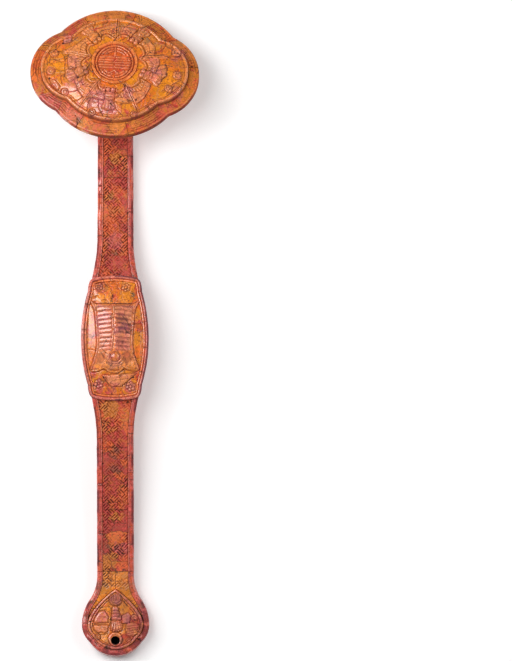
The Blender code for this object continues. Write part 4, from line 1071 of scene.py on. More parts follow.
def carve_wings(cuts, joint, wings):
    """The two wings that meet at a joint of the dome. wings gives each bat's heading and sizes."""
    edges, lines = [], []
    for heading, (root, middle, corner, tip) in wings:
        spread = (joint - heading + 180.0) % 360.0 - 180.0
        side = 4.2 / abs(spread)

        def spots(*pairs):
            share, radius = np.array(pairs, float).T
            return curve(around(heading + spread * share, radius))

        edges.append(spots((0.14 + side * 0.8, root), (0.42, (root + middle) / 2 - 0.3), (0.66, middle),
                           (0.93, corner)))
        arch = spots((0.14 + side, 22.0), (0.38, 23.6), (0.58, 23.4), (0.80, tip + 2.6), (0.96, tip))
        line = spots((0.93, corner * 0.35 + tip * 0.65), (0.62, middle * 0.45 + 13.0),
                     (0.2 + side, root * 0.4 + 14.0))
        fold = spots((0.9, corner * 0.8 + tip * 0.2), (0.62, middle * 0.8 + 5.2),
                     (0.25 + side, root * 0.8 + 5.2))
        arm = spots((0.93, tip - 0.9), (0.78, tip + 1.3), (0.58, 21.7), (0.38, 21.9), (0.2 + side, 20.4))
        seam = spots((0.95, 17.8), (0.955, 22.0), (0.965, 30.0), (0.975, 36.5))
        lines.append((heading, arch, line, fold, arm, seam))
    arches = [arch for _, arch, *_ in lines]
    cuts.block(np.vstack([edges[0], edges[1][::-1], arches[1], arches[0][::-1]]), 0.9, 0.8, 0.3)
    for heading, arch, line, fold, arm, seam in lines:
        cuts.ribs(np.vstack([line, arch]), lambda x, y: turns_about(x, y, heading) / WING_RIBS, 0.3, 0.5)
        cuts.groove(line, 0.65, 0.35)
        cuts.groove(fold, 0.5, 0.25, 0.6)
        cuts.ridge(arm, 1.4, 0.7, 0.3)
        cuts.ridge(seam, 1.2, 0.55, 0.3)


def carve_body(cuts, heading):
    """A bat's body: two round lobes at the head, a hatched back and a ribbed fan for a tail."""
    def spots(*pairs):
        aside, radius = np.array(pairs, float).T
        return around(heading + np.degrees(np.arctan2(aside, radius)), np.hypot(aside, radius))

    tail = curve(spots((-2.1, 27.6), (-3.6, 30.4), (-4.9, 33.2), (-2.6, BODY_FAR), (0.0, BODY_FAR + 0.5),
                       (2.6, BODY_FAR), (4.9, 33.2), (3.6, 30.4), (2.1, 27.6)), closed=True)
    cuts.block(tail, 0.9, 1.3, 0.6, 0.7)
    cuts.ribs(tail, lambda x, y: turns_about(x, y, heading) / TAIL_RIBS, 0.25, 0.4)
    back = curve(spots((0.0, 28.6), (-3.0, 27.4), (-3.9, 24.8), (-2.8, 22.4), (0.0, 21.4), (2.8, 22.4),
                       (3.9, 24.8), (3.0, 27.4)), closed=True)
    cuts.block(back, 1.6, 2.4, 0.6, 0.7)
    cuts.ribs(back, lambda x, y: np.hypot(x - MEDALLION[0], y - MEDALLION[1]) / BACK_RIBS, 0.35, 0.4)
    for aside in (-1.6, 1.6):
        cuts.boss(spots((aside, BODY_NEAR + 1.4))[0], 1.8, 1.7, 0.9)


def carve_dome(cuts, _, across, *rest):
    """Five bats round the medallion, clouds towards the edge, and the margin's line, with a painted
    highlight on the bead and painted shade on the wall below it.
    """
    for place, strength in ((0.35, 0.7), (1.5, 0.6)):
        cuts.score(across - BEAD_WIDTH - place, 0.3, 0.3, 1.0, strength)
    # The bead's rubbed tone and painted highlight.
    bead = smooth((BEAD_WIDTH - across) / 0.5)
    cuts.mark("raised", bead)
    cuts.mark("blush", 0.3 * bead)
    for line in HEAD_LINES:
        cuts.groove(curve(line), 0.8, 0.5)
    for outline in HEAD_BLOCKS:
        cuts.block(outline, 1.0, 1.2, 0.5)
    for curl in CURLS:
        cuts.curl(*curl)
    coarse = panel_outline(GLUE)
    ends = [coarse[nearest(coarse, degrees)] - MEDALLION for degrees in DOME_JOINTS]
    bats = list(zip(BAT_DIRECTIONS, WINGS))
    for index, (heading, (near, _)) in enumerate(bats):
        other, (_, far) = bats[index - 1]
        carve_wings(cuts, math.degrees(direction(ends[index])), ((heading, near), (other, far)))
    for heading in BAT_DIRECTIONS:
        carve_body(cuts, heading)
    cuts.marks["blush"] *= 0.3 + 0.7 * smooth((14.0 - cuts.y) / 26.0)
    crazed = smooth((across - BEAD_WIDTH - 1.5) / 0.8) * cuts.patchy(0.9, 1.6, 7.0, 55)
    crazed *= 1.0 - 0.5 * cuts.marks["raised"]
    cuts.score(noise(cuts.x, cuts.y, 3.6, 53), 0.1, 0.22, 0.4, crazed)
    cuts.flaws(*HEAD_FLAWS)
    # Painted shade on the wall below the bead.
    wall = smooth(-across / 0.015)
    cuts.marks["raised"] *= 1.0 - wall
    cuts.mark("hollow", 0.6 * wall)


def dome_height(share):
    """Height of the dome, from its edge (0) to the medallion (1)."""
    return FIELD_EDGE + DOME_RISE * (1.0 - (1.0 - share) ** 2)


def make_dome():
    """The five pieces of the carved dome round the medallion."""
    outer = panel_outline(GLUE, HEAD_FINENESS)
    way = outer - MEDALLION
    inner = MEDALLION + way / np.hypot(*way.T)[:, None] * (MEDALLION_RADIUS + GLUE)
    crest = FIELD_EDGE + BEAD_RISE
    wall = [(0.0, -0.02, height) for height in (RIM_TOP - HEAD_STONE, RIM_TOP, (RIM_TOP + crest) / 2)]
    bead = bead_profile(BEAD_WIDTH / 2, crest, FIELD_EDGE, 9)
    field = [(share, BEAD_WIDTH * (1.0 - share), dome_height(share))
             for share in np.linspace(0.0, 1.0, DOME_ROWS + 1)[1:]]
    under = [(share, HEAD_STONE * (1.0 - share), dome_height(share) - HEAD_STONE)
             for share in (1.0, 0.65, 0.3, 0.0)]
    under.append((0.0, HEAD_STONE, RIM_TOP - HEAD_STONE))
    made = section((), wall + bead + field, under)
    for index, ends in enumerate(joint_ends(panel_outline(GLUE), DOME_JOINTS)):
        make_moulding(f"dome_piece_{index + 1}", (outer, inner), ends, made, lay, carve_dome, (0.0, 0.35))


BAR_PITCH = 1.95
BAR_WIDTH = 1.3
RING_PITCH = 2.1


def carve_medallion(cuts):
    """Round fretwork: two rings, bars that break beside the middle, and nested arcs above and below."""
    radius = np.hypot(cuts.x - MEDALLION[0], cuts.y - MEDALLION[1])
    edge = MEDALLION_RADIUS - MEDALLION_RING
    inside = edge - RING_PITCH - 0.7
    for ring in (edge - 0.3, edge - RING_PITCH - 0.1):
        cuts.score(radius - ring, 0.4, 0.35, 1.0)
    cuts.ridge(circle(MEDALLION, edge - RING_PITCH / 2 - 0.2, 60), 1.3, 0.8, 0.2)

    def bar(*points):
        cuts.ridge(MEDALLION + np.array(points), BAR_WIDTH, 0.7)

    for index, row in enumerate(np.arange(-2, 3) * BAR_PITCH):
        half = math.sqrt(inside**2 - row**2) - 0.4
        inner = 1.1 if index % 2 else -0.1
        for side in (-1, 1):
            bar((side * inner, row), (side * half, row))
    for up in (-1, 1):
        for reach in (inside - 0.2, inside - 2.2):
            start = math.asin(min(3.1 * BAR_PITCH / reach, 0.98))
            bow = arc((0.0, 0.0), reach, start, math.pi / 2 - 0.16, 12)
            for side in (-1, 1):
                bar(*bow * (side, up))
    bar((0.0, 2.6 * BAR_PITCH), (0.0, inside))
    bar((-3.4, -4.4 * BAR_PITCH), (0.0, -3.0 * BAR_PITCH), (3.4, -4.4 * BAR_PITCH))
    # Lightens the outer ring: its rubbed tone and a painted highlight.
    cuts.mark("raised", smooth((radius - edge) / 0.4))
    cuts.marks["hollow"] *= 0.8
    cuts.marks["blush"] *= 0.4
    cuts.marks["gold"][:] = 0.55
    cuts.flaws(*HEAD_FLAWS)


def make_medallion():
    """The round medallion in the middle of the dome."""
    crest = DOME_TOP + MEDALLION_RISE
    inside = MEDALLION_RADIUS - MEDALLION_RING
    levels = [(MEDALLION_RADIUS, DOME_TOP - HEAD_STONE)]
    levels += [(MEDALLION_RADIUS - inward, height)
               for inward, height in quarter_round(MEDALLION_ROUND, crest)]
    levels += [(r, crest) for r in np.linspace(MEDALLION_RADIUS - MEDALLION_ROUND, inside + 0.3, 7)[1:]]
    levels += [(r, DOME_TOP) for r in np.linspace(inside, 0.05, MEDALLION_RINGS + 1)]
    angles = np.linspace(0.0, 2 * math.pi, MEDALLION_SIDES + 1)[:-1]
    radius, height = np.array(levels).T[..., None]
    x = MEDALLION[0] + radius * np.cos(angles)
    y = MEDALLION[1] + radius * np.sin(angles)
    cuts = Carving(x, y)
    carve_medallion(cuts)
    cuts.wear()
    relief, marks = cuts.result()
    relief[0] = 0.0
    loft("head_medallion", lay(x, y, height + relief), marks)


def make_head_backs():
    """The two plain slabs on the back of the head."""
    outline = head_outline(HEAD_STONE + GLUE, 4)
    quarter = len(outline) // 4
    right = outline[np.arange(-quarter, quarter + 1)]
    height = np.array((HEAD_BACK_SLAB, HEAD_BACK_EDGE, 0.0))[:, None]
    shrink = np.array((1.0, 1.0, HEAD_BACK_SHRINK))[:, None]
    for hand, side in SIDES:
        loop = np.c_[np.maximum(right[:, 0], GLUE / 2) * side, right[:, 1]]
        centre = loop.mean(0)
        x, y = centre[:, None, None] + (loop - centre).T[:, None] * shrink
        loft(f"head_back_{hand}", lay(*np.broadcast_arrays(x, y, height)))


# Plaque

EMBLEM_SIDE = (
    (18, 25.8), (15.4, 22), (14, 17.5), (13, 7), (12.4, 0), (13, -8), (14.6, -14.5), (17.2, -21.2),
)
EMBLEM_TOP = np.array(((12.4, 22.8),))
EMBLEM_CROWN = 1.2
EMBLEM_HALF = 13.0
RIB_PITCH = 2.95
RIB_TOP = 22.0
RIB_BOTTOM = -8.2
PLAQUE_BOSS = (0.3, -12.2)
PLAQUE_SPOTS = {
    # Painted shade, mostly on the emblem's right half and beside the boss.
    "hollow": (
        (6, 16, 8, 0.4), (6, -3, 7, 0.5), (4.5, 11.5, 5.5, 0.95), (6, 6.5, 5.5, 0.95), (4, -3, 5, 0.8),
        (9, -12.5, 4.5, 0.7), (-9, -13, 4.5, 0.55), (9.1, 41, 1.6, 1), (-1.4, 28, 1.8, 0.9),
        (16.5, 8, 4, 0.35),
    ),
    "blush": (
        (-7, 14, 9, 0.9), (5, 8, 7, 0.9), (-16, 6, 4, 0.8), (-13, 34, 6, 0.7), (10, -33, 6, 0.8),
        (-11, -33, 6, 0.7), (-3, -38, 5, 0.6), (-15, 2, 5, 0.7), (0, -15, 6, 0.6),
    ),
    "gold": (
        (6, 38, 5, 0.9), (-9, 27, 4, 0.7), (8, 27, 6, 0.6), (0, -19, 8, 1), (2, -25.5, 8, 0.9),
        (-17.5, 8, 5, 0.6), (16.5, 0, 6, 0.8), (16.5, 16, 5, 0.7),
    ),
    "stain": (
        (13, 29.5, 1.8, 0.9), (-8.5, -28, 3, 0.7),
    ),
}
PLAQUE_CRACKS = (
    ((-14, 23.3), (-6, 23.5), (2, 23), (12, 23.4)), ((4.4, 15.6), (8.4, 11.4), (10.2, 8)),
    ((-19, -7), (-13, -8.2)), ((12.4, 9.6), (17.4, 9.8)), ((-2.4, -36), (-2.2, -41)),
    ((-8, -26.5), (-3.8, -33)), ((13, -26), (5, -33)), ((10.6, 31), (12, 28.4), (14.5, 26.4)),
    ((-1.6, 29), (-2.6, 24.2)), ((12.5, -9.4), (14.8, -13.4)),
)
PLAQUE_CHIPS = (
    (12.2, 30, 1.1), (-2.2, 26.4, 1), (13, -10.4, 0.8), (12.8, -26.6, 0.8), (-7.6, -26.6, 0.9),
    (-6.4, -9.6, 0.7),
)


def carve_plaque(cuts):
    """A waisted emblem with ribs beside a spine, a boss with a wave below it, and plain sides."""
    side = curve(EMBLEM_SIDE)
    outline = np.vstack([EMBLEM_TOP, side, side[::-1] * (-1, 1), EMBLEM_TOP * (-1, 1)])
    cuts.block(outline, 0.8, 1.0)
    near, x, y = cuts.box(outline, 0.0)
    crown = np.maximum(1.0 - (x / EMBLEM_HALF) ** 2, 0.0)
    cuts.height[near] += EMBLEM_CROWN * crown * smooth(within(x, y, outline) / 2.5)
    ends = np.maximum(smooth(cuts.y / 2.0 - 11.8), smooth(-14.5 - cuts.y / 2.0))
    cuts.score(noise(cuts.x, cuts.y, 2.0, 51), 0.16, 0.25, 0.6, smooth(2.0 - cuts.x / 4.0) * ends)
    near, x, y = cuts.box(np.array(((-20.0, RIB_BOTTOM), (20.0, RIB_TOP))), 0.0)
    inside = smooth((within(x, y, outline * (0.93, 1.0)) - 0.7) / 0.5)
    inside *= smooth((np.abs(x + 0.9) - 0.8) / 0.4)
    inside *= smooth((RIB_TOP - y) / 0.4) * smooth((y - RIB_BOTTOM) / 0.4)
    phase = (RIB_TOP - y - 0.075 * np.abs(x) ** 1.1) / RIB_PITCH
    aside = np.abs(phase - np.round(phase))
    groove = bell(aside * RIB_PITCH, 0.36) * inside
    crest = bell((0.5 - aside) * RIB_PITCH, 0.6) * inside
    cuts.height[near] += 0.25 * inside - 0.5 * groove
    # The ribs are lightened with their rubbed tone and a painted highlight; painted shade darkens the
    # grooves between them.
    cuts.mark("raised", 0.6 * inside * (1.0 - groove), near)
    cuts.mark("blush", 0.55 * inside, near)
    cuts.mark("hollow", 0.85 * groove, near)
    for hand in (-1, 1):
        cuts.ridge(side * (hand * 0.97, 1.0), 1.3, 0.7)
    spine = ((-1.6, 22.5), (-0.4, 18.0), (-1.4, 12.0), (-1.0, 5.0), (-1.6, -1.0), (-2.2, -7.6))
    cuts.ridge(curve(spine), 1.0, 0.7)
    for radius in (5.4, 7.2):
        cuts.ridge(arc((0.3, -10.8), radius, math.radians(202), math.radians(338), 18), 1.2, 0.6, 0.0)
    cuts.boss(PLAQUE_BOSS, 3.3, 1.3, 0.6)
    on_boss = np.hypot(cuts.x - PLAQUE_BOSS[0], cuts.y - PLAQUE_BOSS[1]) < 3.2
    cuts.marks["raised"][on_boss] *= 0.2
    wave = curve(((-15.6, -21.9), (-11.0, -21.2), (-7.6, -19.6), (-4.8, -21.4), (-0.8, -22.7), (3.4, -21.9),
                  (6.6, -19.4), (10.4, -20.9), (15.6, -21.2)))
    cuts.ridge(wave, 1.6, 0.9, 0.0)
    cuts.groove(wave - (0.0, 1.2), 0.8, 0.5)
    cuts.block(((-8.8, -25.0), (15.2, -23.6), (4.2, -32.6), (-2.4, -33.0)), 0.8, 1.5, 0.6)
    for x, y, radius in ((-11.2, -30.8, 2.8), (11.0, -32.8, 2.8), (7.8, 34.2, 2.6), (-11.0, 35.0, 2.2)):
        carve_rosette(cuts, x, y, radius)
    for x in (-18.6, 18.2):
        cuts.groove(((x, 18.0), (x * 1.02, 0.0), (x, -16.0)), 0.8, 0.35, 0.5)
    cuts.flaws(PLAQUE_SPOTS, PLAQUE_CRACKS, PLAQUE_CHIPS)
    # Less painted shade on the ribs' crests.
    cuts.marks["hollow"][near] *= 1.0 - 0.6 * crest


def carve_rosette(cuts, x, y, radius):
    """A small flower: a ring of petals about a button."""
    for petal in range(6):
        turn = math.radians(60 * petal + 20)
        place = (x + 0.72 * radius * math.cos(turn), y + 0.72 * radius * math.sin(turn))
        cuts.boss(place, 0.44 * radius, 0.5)
    cuts.boss((x, y), 0.34 * radius, 0.8)


def carve_frame(cuts, along, across, _, length):
    """Two beads side by side with a deep line between them, lightened with a painted highlight, and painted
    shade along the outer edge, heavier on the right.
    """
    for middle, half, rise in ((FRAME_BEAD, 0.95, 0.0), (3.0, 0.7, 0.35)):
        up = np.sqrt(bowl(across - middle, half))
        cuts.height += rise * up
        cuts.mark("raised", up)
    cuts.score(across - 2.2, 0.3, 0.2, 0.5)
    right = np.sign(cuts.x)
    # Painted shade on the outer edge, heavier on the right-hand side, which turns away from the lamps.
    dark = smooth(0.5 + 0.5 * right + 2.0 * noise(cuts.x, cuts.y, 9.0, 49))
    cuts.mark("hollow", 0.9 * dark * smooth((FRAME_BEAD + 0.35 * right - across) / 0.5))
    # Less blush on the outer bead's crest, so that its painted highlight is paler.
    cuts.mark("blush", (0.95 - 0.5 * bell(across - 1.3, 0.45)) * smooth((2.2 - across) / 0.3))
    cuts.mark("gold", 0.9 * smooth((across - 2.2) / 0.3))
    for place in np.arange(9.0, length - 4.0, 17.0):
        cuts.score(along - place, 0.25, 0.2, 0.7, name="seam")


def make_plaque():
    """The raised plaque: walls below, beaded frame, crowned panel and back."""
    low = PLAQUE_Y - PLAQUE_NOTCH_Y + GLUE / 2
    high = PLAQUE_Y + PLAQUE_NOTCH_Y - GLUE / 2
    top = BED - GLUE
    wall = [(0.0, depth) for depth in np.linspace(BACK + BACK_CHAMFER, top, 6)]
    seal = [(SEALED, top), (SEALED, BACK + 0.6)]
    made = section([(BORDER_WIDTH, BACK), (BACK_CHAMFER, BACK), *wall, *seal], ())
    for hand, side in SIDES:
        make_border(f"plaque_side_{hand}", side, low, high, made, 0.5)
    make_slab("plaque_back_slab", "back", low, high)

    crest, ledge = FRONT + FRAME_RISE, FRONT + PANEL_RISE
    bead = bead_profile(FRAME_BEAD, crest, ledge, 12, 0.7)[:-1]
    flat = [(0.0, inward, ledge) for inward in np.linspace(2 * FRAME_BEAD, FRAME_WIDTH - 0.05, 8)]
    made = section([(0.0, 0.0, BED), (0.0, 0.0, (BED + crest) / 2)], [*bead, *flat, (1.0, 0.0, ledge)],
                   [(1.0, 0.0, BED)])
    outlines = plaque_outline(WEAR), plaque_outline(FRAME_WIDTH)
    notch = (PLAQUE.arcs[0][2] + PLAQUE.joins[0][1] // 2) * FRAME_FINENESS
    half = len(outlines[0]) // 2
    stops = {
        "right": (-notch, notch),
        "top": (notch, half - notch),
        "left": (half - notch, half + notch),
        "bottom": (half + notch, 2 * half - notch),
    }
    for where, ends in stops.items():
        make_moulding(f"plaque_frame_{where}", outlines, ends, made, bend_plaque, carve_frame, (0.15, 0.0))
    make_panel("plaque_panel", plaque_outline(FRAME_WIDTH + GLUE), bend_plaque, PANEL_RISE, PANEL_CROWN,
               carve_plaque, (0.1, 0.2), PANEL_STEP)


def make_panel(node, outline, place, rise, crown, carve, tints, step):
    """A panel inside a closed outline, in rows from its low end to its high end, that rises over
    the shaft's face at its edge and by its crown in the middle."""
    order = outline[outline[:, 0] >= -1e-6]
    order = order[np.argsort(order[:, 1], kind="stable")]
    low, high = order[0, 1], order[-1, 1]
    rows = int((high - low) / step)
    share = EASED_ROWS * (0.5 - 0.5 * np.cos(np.linspace(0.0, math.pi, rows + 1)))
    share += (1.0 - EASED_ROWS) * np.linspace(0.0, 1.0, rows + 1)
    share[:EVEN_ROWS] = np.linspace(0.0, share[EVEN_ROWS], EVEN_ROWS + 1)[:-1]
    y = (low + (high - low) * share)[:, None]
    half = np.maximum(np.interp(y, order[:, 1], order[:, 0]), 0.05)
    across, carved = across_section(-1.0, int(2 * order[:, 0].max() / step))
    x = half * across
    turns = np.arctan2(outline[:, 1], outline[:, 0])
    reach = np.interp(np.arctan2(y, x), *zip(*sorted(zip(turns, np.hypot(*outline.T)))), period=2 * math.pi)
    edge = np.clip(np.hypot(x, y) / reach, 0.0, 1.0)
    depth = np.where(carved, FRONT + rise + crown * (1.0 - edge**2), BED)
    return finished(node, x, y, depth, place, carved, carve, tints)


# Tassel end

TERMINAL_SPOTS = {
    # Painted shade, mostly on the right-hand side of the tassel end.
    "hollow": (
        (20, 17, 6, 0.8), (14.5, 8, 4, 0.8), (-7, 3.5, 4, 0.7), (21.5, 28, 5, 0.7), (-22, 18, 3.5, 0.5),
        (17, 31, 2.5, 0.5), (-20.5, 9, 4, 0.6), (-19, 29, 3, 0.4), (4, 1.5, 5, 0.5), (12, 24, 9, 0.35),
        (9, 36, 6, 0.3), (9, 12, 6, 0.35),
    ),
    "blush": (
        (-10, 27, 5.5, 1), (7.5, 26.5, 4.5, 1), (0.5, 30, 3.5, 1), (0.2, 40, 4.6, 0.9), (16, 32, 5, 0.7),
    ),
    "gold": (
        (-7.5, 33, 4, 0.9), (6, 34, 5, 0.9), (5, 18, 5, 0.6), (-7, 12, 4, 0.9), (0, 54, 6, 0.9),
    ),
    "stain": (
        (-6, 9, 2.6, 0.7), (5, 10, 2.2, 0.7), (-21, 27, 2.6, 0.9), (18, 36, 2.8, 0.8),
        (-16.5, 38.5, 2, 0.8), (-9, 49, 7, 0.5), (9, 47, 7, 0.5), (0, 34, 10, 0.3),
    ),
}
TERMINAL_CRACKS = (
    ((-15.6, 33.6), (-9, 34.4), (-4, 34.8)), ((-15, 40.6), (-12.6, 38.6)),
    ((-2.4, 27.6), (-3.6, 24.6), (-4.4, 21)), ((-12, 15), (-8.4, 14.6), (-5, 15.4)), ((6, 39), (8.4, 35)),
    ((-18.6, 24.2), (-14.8, 24)), ((-7, 6.6), (-3.4, 4.6)), ((15, 12), (18.4, 10)),
)
TERMINAL_CHIPS = (
    (-3, 25.4, 0.9), (16.6, 11.4, 1.3), (-6, 5.4, 1.1), (13.4, 25, 0.7), (7.8, 16.2, 0.7),
)
TERMINAL_FLAWS = (TERMINAL_SPOTS, TERMINAL_CRACKS, TERMINAL_CHIPS, TIP_Y)
BAT_HEAD = (0.1, TIP_Y + 40.2)
BAT_HEAD_RADIUS = 4.6


def carve_ogee(cuts):
    """Two beads along the edge of the pointed panel, lightened with a painted highlight, with a line beside
    each.
    """
    line = np.linspace(TIP_Y + 5, APEX_Y, 200)
    half = ogee_half_width(line)
    slope = np.hypot(1.0, np.gradient(half, line))
    edge = (np.interp(cuts.y, line, half) - np.abs(cuts.x)) / np.interp(cuts.y, line, slope)
    lowest = BOTTOM_RADIUS - CORE_INSET - np.hypot(cuts.x, cuts.y - (TIP_Y + BOTTOM_RADIUS))
    edge = np.where(cuts.y < TIP_Y + 8.0, np.minimum(edge, lowest), edge)
    # The beads are lightened and blushed: their rubbed tone and a painted highlight.
    for middle, half, rise in ((0.9, 0.9, 0.8), (2.6, 0.5, 0.3)):
        up = rise * np.sqrt(bowl(edge - middle, half))
        cuts.height += up
        cuts.mark("raised", up)
        cuts.mark("blush", up)
    for middle in (1.8, 3.35):
        cuts.score(edge - middle, 0.28, 0.3, 1.0)


def carve_terminal(cuts):
    """A bat seen from above: ribbed head, stepped body with a fan, and a wing on each side."""
    carve_ogee(cuts)
    head = circle(BAT_HEAD, BAT_HEAD_RADIUS, 24)[:-1]
    cuts.block(head, 1.8, 2.6, 1.0)
    # Painted shade round the bat's head.
    cuts.patch("hollow", BAT_HEAD, BAT_HEAD_RADIUS, 0.45)
    cuts.ribs(head[head[:, 1] > TIP_Y + 38.6], lambda x, y: x / 1.3, 0.5)
    cuts.groove(arc((0.1, TIP_Y + 42.0), 4.4, math.radians(215), math.radians(325), 10), 0.7, 0.5)
    body = curve(from_tip((-2.2, 34.0), (-1.0, 35.2), (1.6, 34.6), (2.6, 31.0), (4.0, 27.4), (3.2, 25.0),
                          (-2.6, 25.4), (-2.4, 29.5)), closed=True)
    cuts.block(body, 1.6, 1.4, 1.0)
    # Painted shade on the bat's body.
    cuts.patch("hollow", (0.4, TIP_Y + 29.5), 3.2, 0.4)
    for step in (32.4, 30.2, 27.8):
        cuts.groove(from_tip((-2.6, step - 0.5), (0.4, step), (3.2, step - 0.6)), 0.7, 0.5)
    fan = curve(from_tip((-2.4, 24.6), (2.8, 24.8), (4.9, 21.0), (4.2, 17.4), (1.4, 16.4), (-1.8, 16.8),
                         (-3.4, 19.6)), closed=True)
    cuts.block(fan, 1.3, 1.2, 0.5)
    cuts.ribs(fan, lambda x, y: np.degrees(np.arctan2(x - 0.4, TIP_Y + 32.0 - y)) / 8.5, 0.45)
    for x in (-2.6, -1.0, 0.6, 2.2, 3.7):
        cuts.boss((x, TIP_Y + 17.0 + 0.12 * (x - 0.6) ** 2), 0.75, 0.8)
    cuts.block(from_tip((-14.6, 26.0), (-11.6, 31.6), (-8.0, 32.4), (-5.0, 27.6), (-5.2, 23.2),
                        (-15.0, 23.0)), 1.2, 1.4, 1.0)
    cuts.block(from_tip((-15.4, 21.4), (-5.2, 21.6), (-5.4, 17.0), (-7.6, 15.6), (-9.8, 16.8),
                        (-12.0, 16.0), (-14.4, 17.8)), 1.1, 1.2, 0.6)
    cuts.block(from_tip((4.4, 28.4), (9.2, 30.6), (11.0, 28.0), (9.6, 22.8), (5.0, 22.6)), 1.2, 1.3, 1.0)
    wing = curve(from_tip((7.6, 21.8), (12.0, 23.2), (16.4, 21.2), (16.6, 16.8), (12.4, 13.4),
                          (7.8, 14.6)), closed=True)
    cuts.block(wing, 1.1, 1.2, 0.3)
    cuts.ribs(from_tip((7.0, 22.0), (16.6, 22.0), (16.6, 13.0), (7.0, 13.0)),
              lambda x, y: (y - 0.15 * x) / 1.7, 0.4)
    for x, y, radius, first, hand in ((13.4, 26.8, 2.3, 120, -1), (-12.2, 13.2, 1.9, 60, 1),
                                      (9.4, 10.6, 1.8, 120, -1)):
        cuts.curl(x, TIP_Y + y, radius, first, hand)
    cuts.ridge(circle(HOLE, HOLE_RADIUS + COLLAR_WIDTH * 0.55, 32), COLLAR_WIDTH * 1.05, COLLAR_RISE)
    cuts.groove(circle(HOLE, HOLE_RADIUS + COLLAR_WIDTH + 0.5, 32), 0.7, 0.4)
    cuts.flaws(*TERMINAL_FLAWS)


def carve_terminal_rim(cuts, _, across, *rest):
    """The rim of the tassel end, with one line along it."""
    carve_edge(cuts, across)
    cuts.flaws(*TERMINAL_FLAWS)


def carve_spandrel(cuts):
    """The fret, which fades out beside the pointed panel."""
    carve_fret(cuts)
    plain = smooth((APEX_Y + 4.0 - cuts.y) / 6.0)
    cuts.height *= 1.0 - plain
    cuts.marks["hollow"] *= 1.0 - plain
    cuts.flaws(*TERMINAL_FLAWS)


def make_terminal():
    """Rim, spandrels, pointed panel and back of the tassel end."""
    rights = terminal_side(WEAR), terminal_side(BORDER_WIDTH)
    outlines = [np.vstack([right[:-1] * (-1, 1), right[::-1]]) for right in rights]
    profile, carved = border_profile()
    inmost = profile[:, 0] >= BORDER_WIDTH
    profile = np.c_[inmost * 1.0, profile[:, 0] - BORDER_WIDTH * inmost, profile[:, 1]]
    cusp = len(rights[0]) - 1 - 4 * RIM_FINENESS
    last = len(outlines[0]) - 1
    stops = {"left": (0, cusp), "bottom": (cusp, last - cusp), "right": (last - cusp, last)}
    for where, ends in stops.items():
        make_moulding(f"terminal_rim_{where}", outlines, ends, (profile, carved), bend,
                      carve_terminal_rim, (0.8, 0.0))
    for hand, side in SIDES:
        make_spandrel(f"terminal_spandrel_{hand}", side)
    panel = make_panel("terminal_panel", ogee_outline(), bend, OGEE_RISE, 0.0, carve_terminal,
                       (0.15, 0.1), OGEE_STEP)
    rows = np.linspace(TIP_Y + CORE_INSET + 0.05, TERMINAL_TOP - GLUE / 2, 60)[:, None]
    across, face = across_section(-1.0, 4)
    plan = across * body_half_width(rows, CORE_INSET), rows, np.where(face, BACK, BACK + BACK_SLAB)
    back = loft("terminal_back_slab", bend(*np.broadcast_arrays(*plan)))
    for piece in (panel, back):
        drill(piece)


def make_spandrel(node, side):
    """The slab between the pointed panel, the rim and the last fret slab, on one side."""
    rows = np.linspace(WIDEST_Y + 6.0, TERMINAL_TOP - GLUE / 2, SPANDREL_ROWS)
    outer = body_half_width(rows, CORE_INSET)
    inner = np.where(rows < APEX_Y, ogee_half_width(rows) + 2 * GLUE, GLUE / 2)
    rows, outer, inner = np.stack([rows, outer, inner])[:, outer - inner > 0.5, None]
    across, carved = across_section(0.0, SPANDREL_COLUMNS)
    x = side * (inner + (outer - inner) * across)
    finished(node, x, rows, np.where(carved, FIELD_TOP, BED), bend, carved, carve_spandrel, (0.1, 0.5))


def drill(piece):
    """Cuts the upright tassel hole through a piece."""
    bpy.ops.mesh.primitive_cylinder_add(vertices=HOLE_SIDES, radius=HOLE_RADIUS / METRE,
                                        depth=DRILL_LENGTH / METRE, location=HOLE_PLACE)
    tool = bpy.context.active_object
    modifier = piece.modifiers.new("tassel_hole", "BOOLEAN")
    modifier.object = tool
    modifier.operation = "DIFFERENCE"
    bpy.context.view_layer.objects.active = piece
    bpy.ops.object.modifier_apply(modifier=modifier.name)
    bpy.data.objects.remove(tool)


# Materials

OCHRE = (0.85, 0.26, 0.006)
AMBER = (0.70, 0.21, 0.010)
ORANGE = (0.79, 0.128, 0.010)
FLAME = (0.85, 0.145, 0.008)
SCARLET = (0.68, 0.08, 0.016)
RED = (0.48, 0.036, 0.018)
PINK = (0.68, 0.135, 0.115)
# Lighter tones of high spots: their rubbed tone and a painted highlight, paler and rosier.
PALE_RUB_AND_SHEEN = (0.94, 0.30, 0.08)
ROSY_RUB_AND_SHEEN = (0.90, 0.42, 0.34)
DOT = (0.19, 0.028, 0.006)
VEIN = (0.17, 0.024, 0.006)
CRACK = (0.09, 0.02, 0.006)
MOSS = (0.12, 0.09, 0.035)
# Painted shade, multiplied into cuts and shaded sides.
SHADE = (0.30, 0.13, 0.12)
PINK_SHADE = (0.20, 0.12, 0.40)
JOINT = (0.04, 0.012, 0.006)
# Sizes of the stone's patterns
DRIFT_SIZE = 5.0
CLOUD_SIZE = 16.0
BLOTCH_SIZE = 4.0
SPECK_SIZE = 1.2
FLUSH_SIZE = 2.4
VEIN_SIZE = 5.0
FRAGMENT_SIZE = 11.0
DOT_SIZE = 2.6
# How far the patterns drift and how deep their pits are, in metres
DRIFT = (0.004, 0.004, 0.004)
BUMP = 0.0004


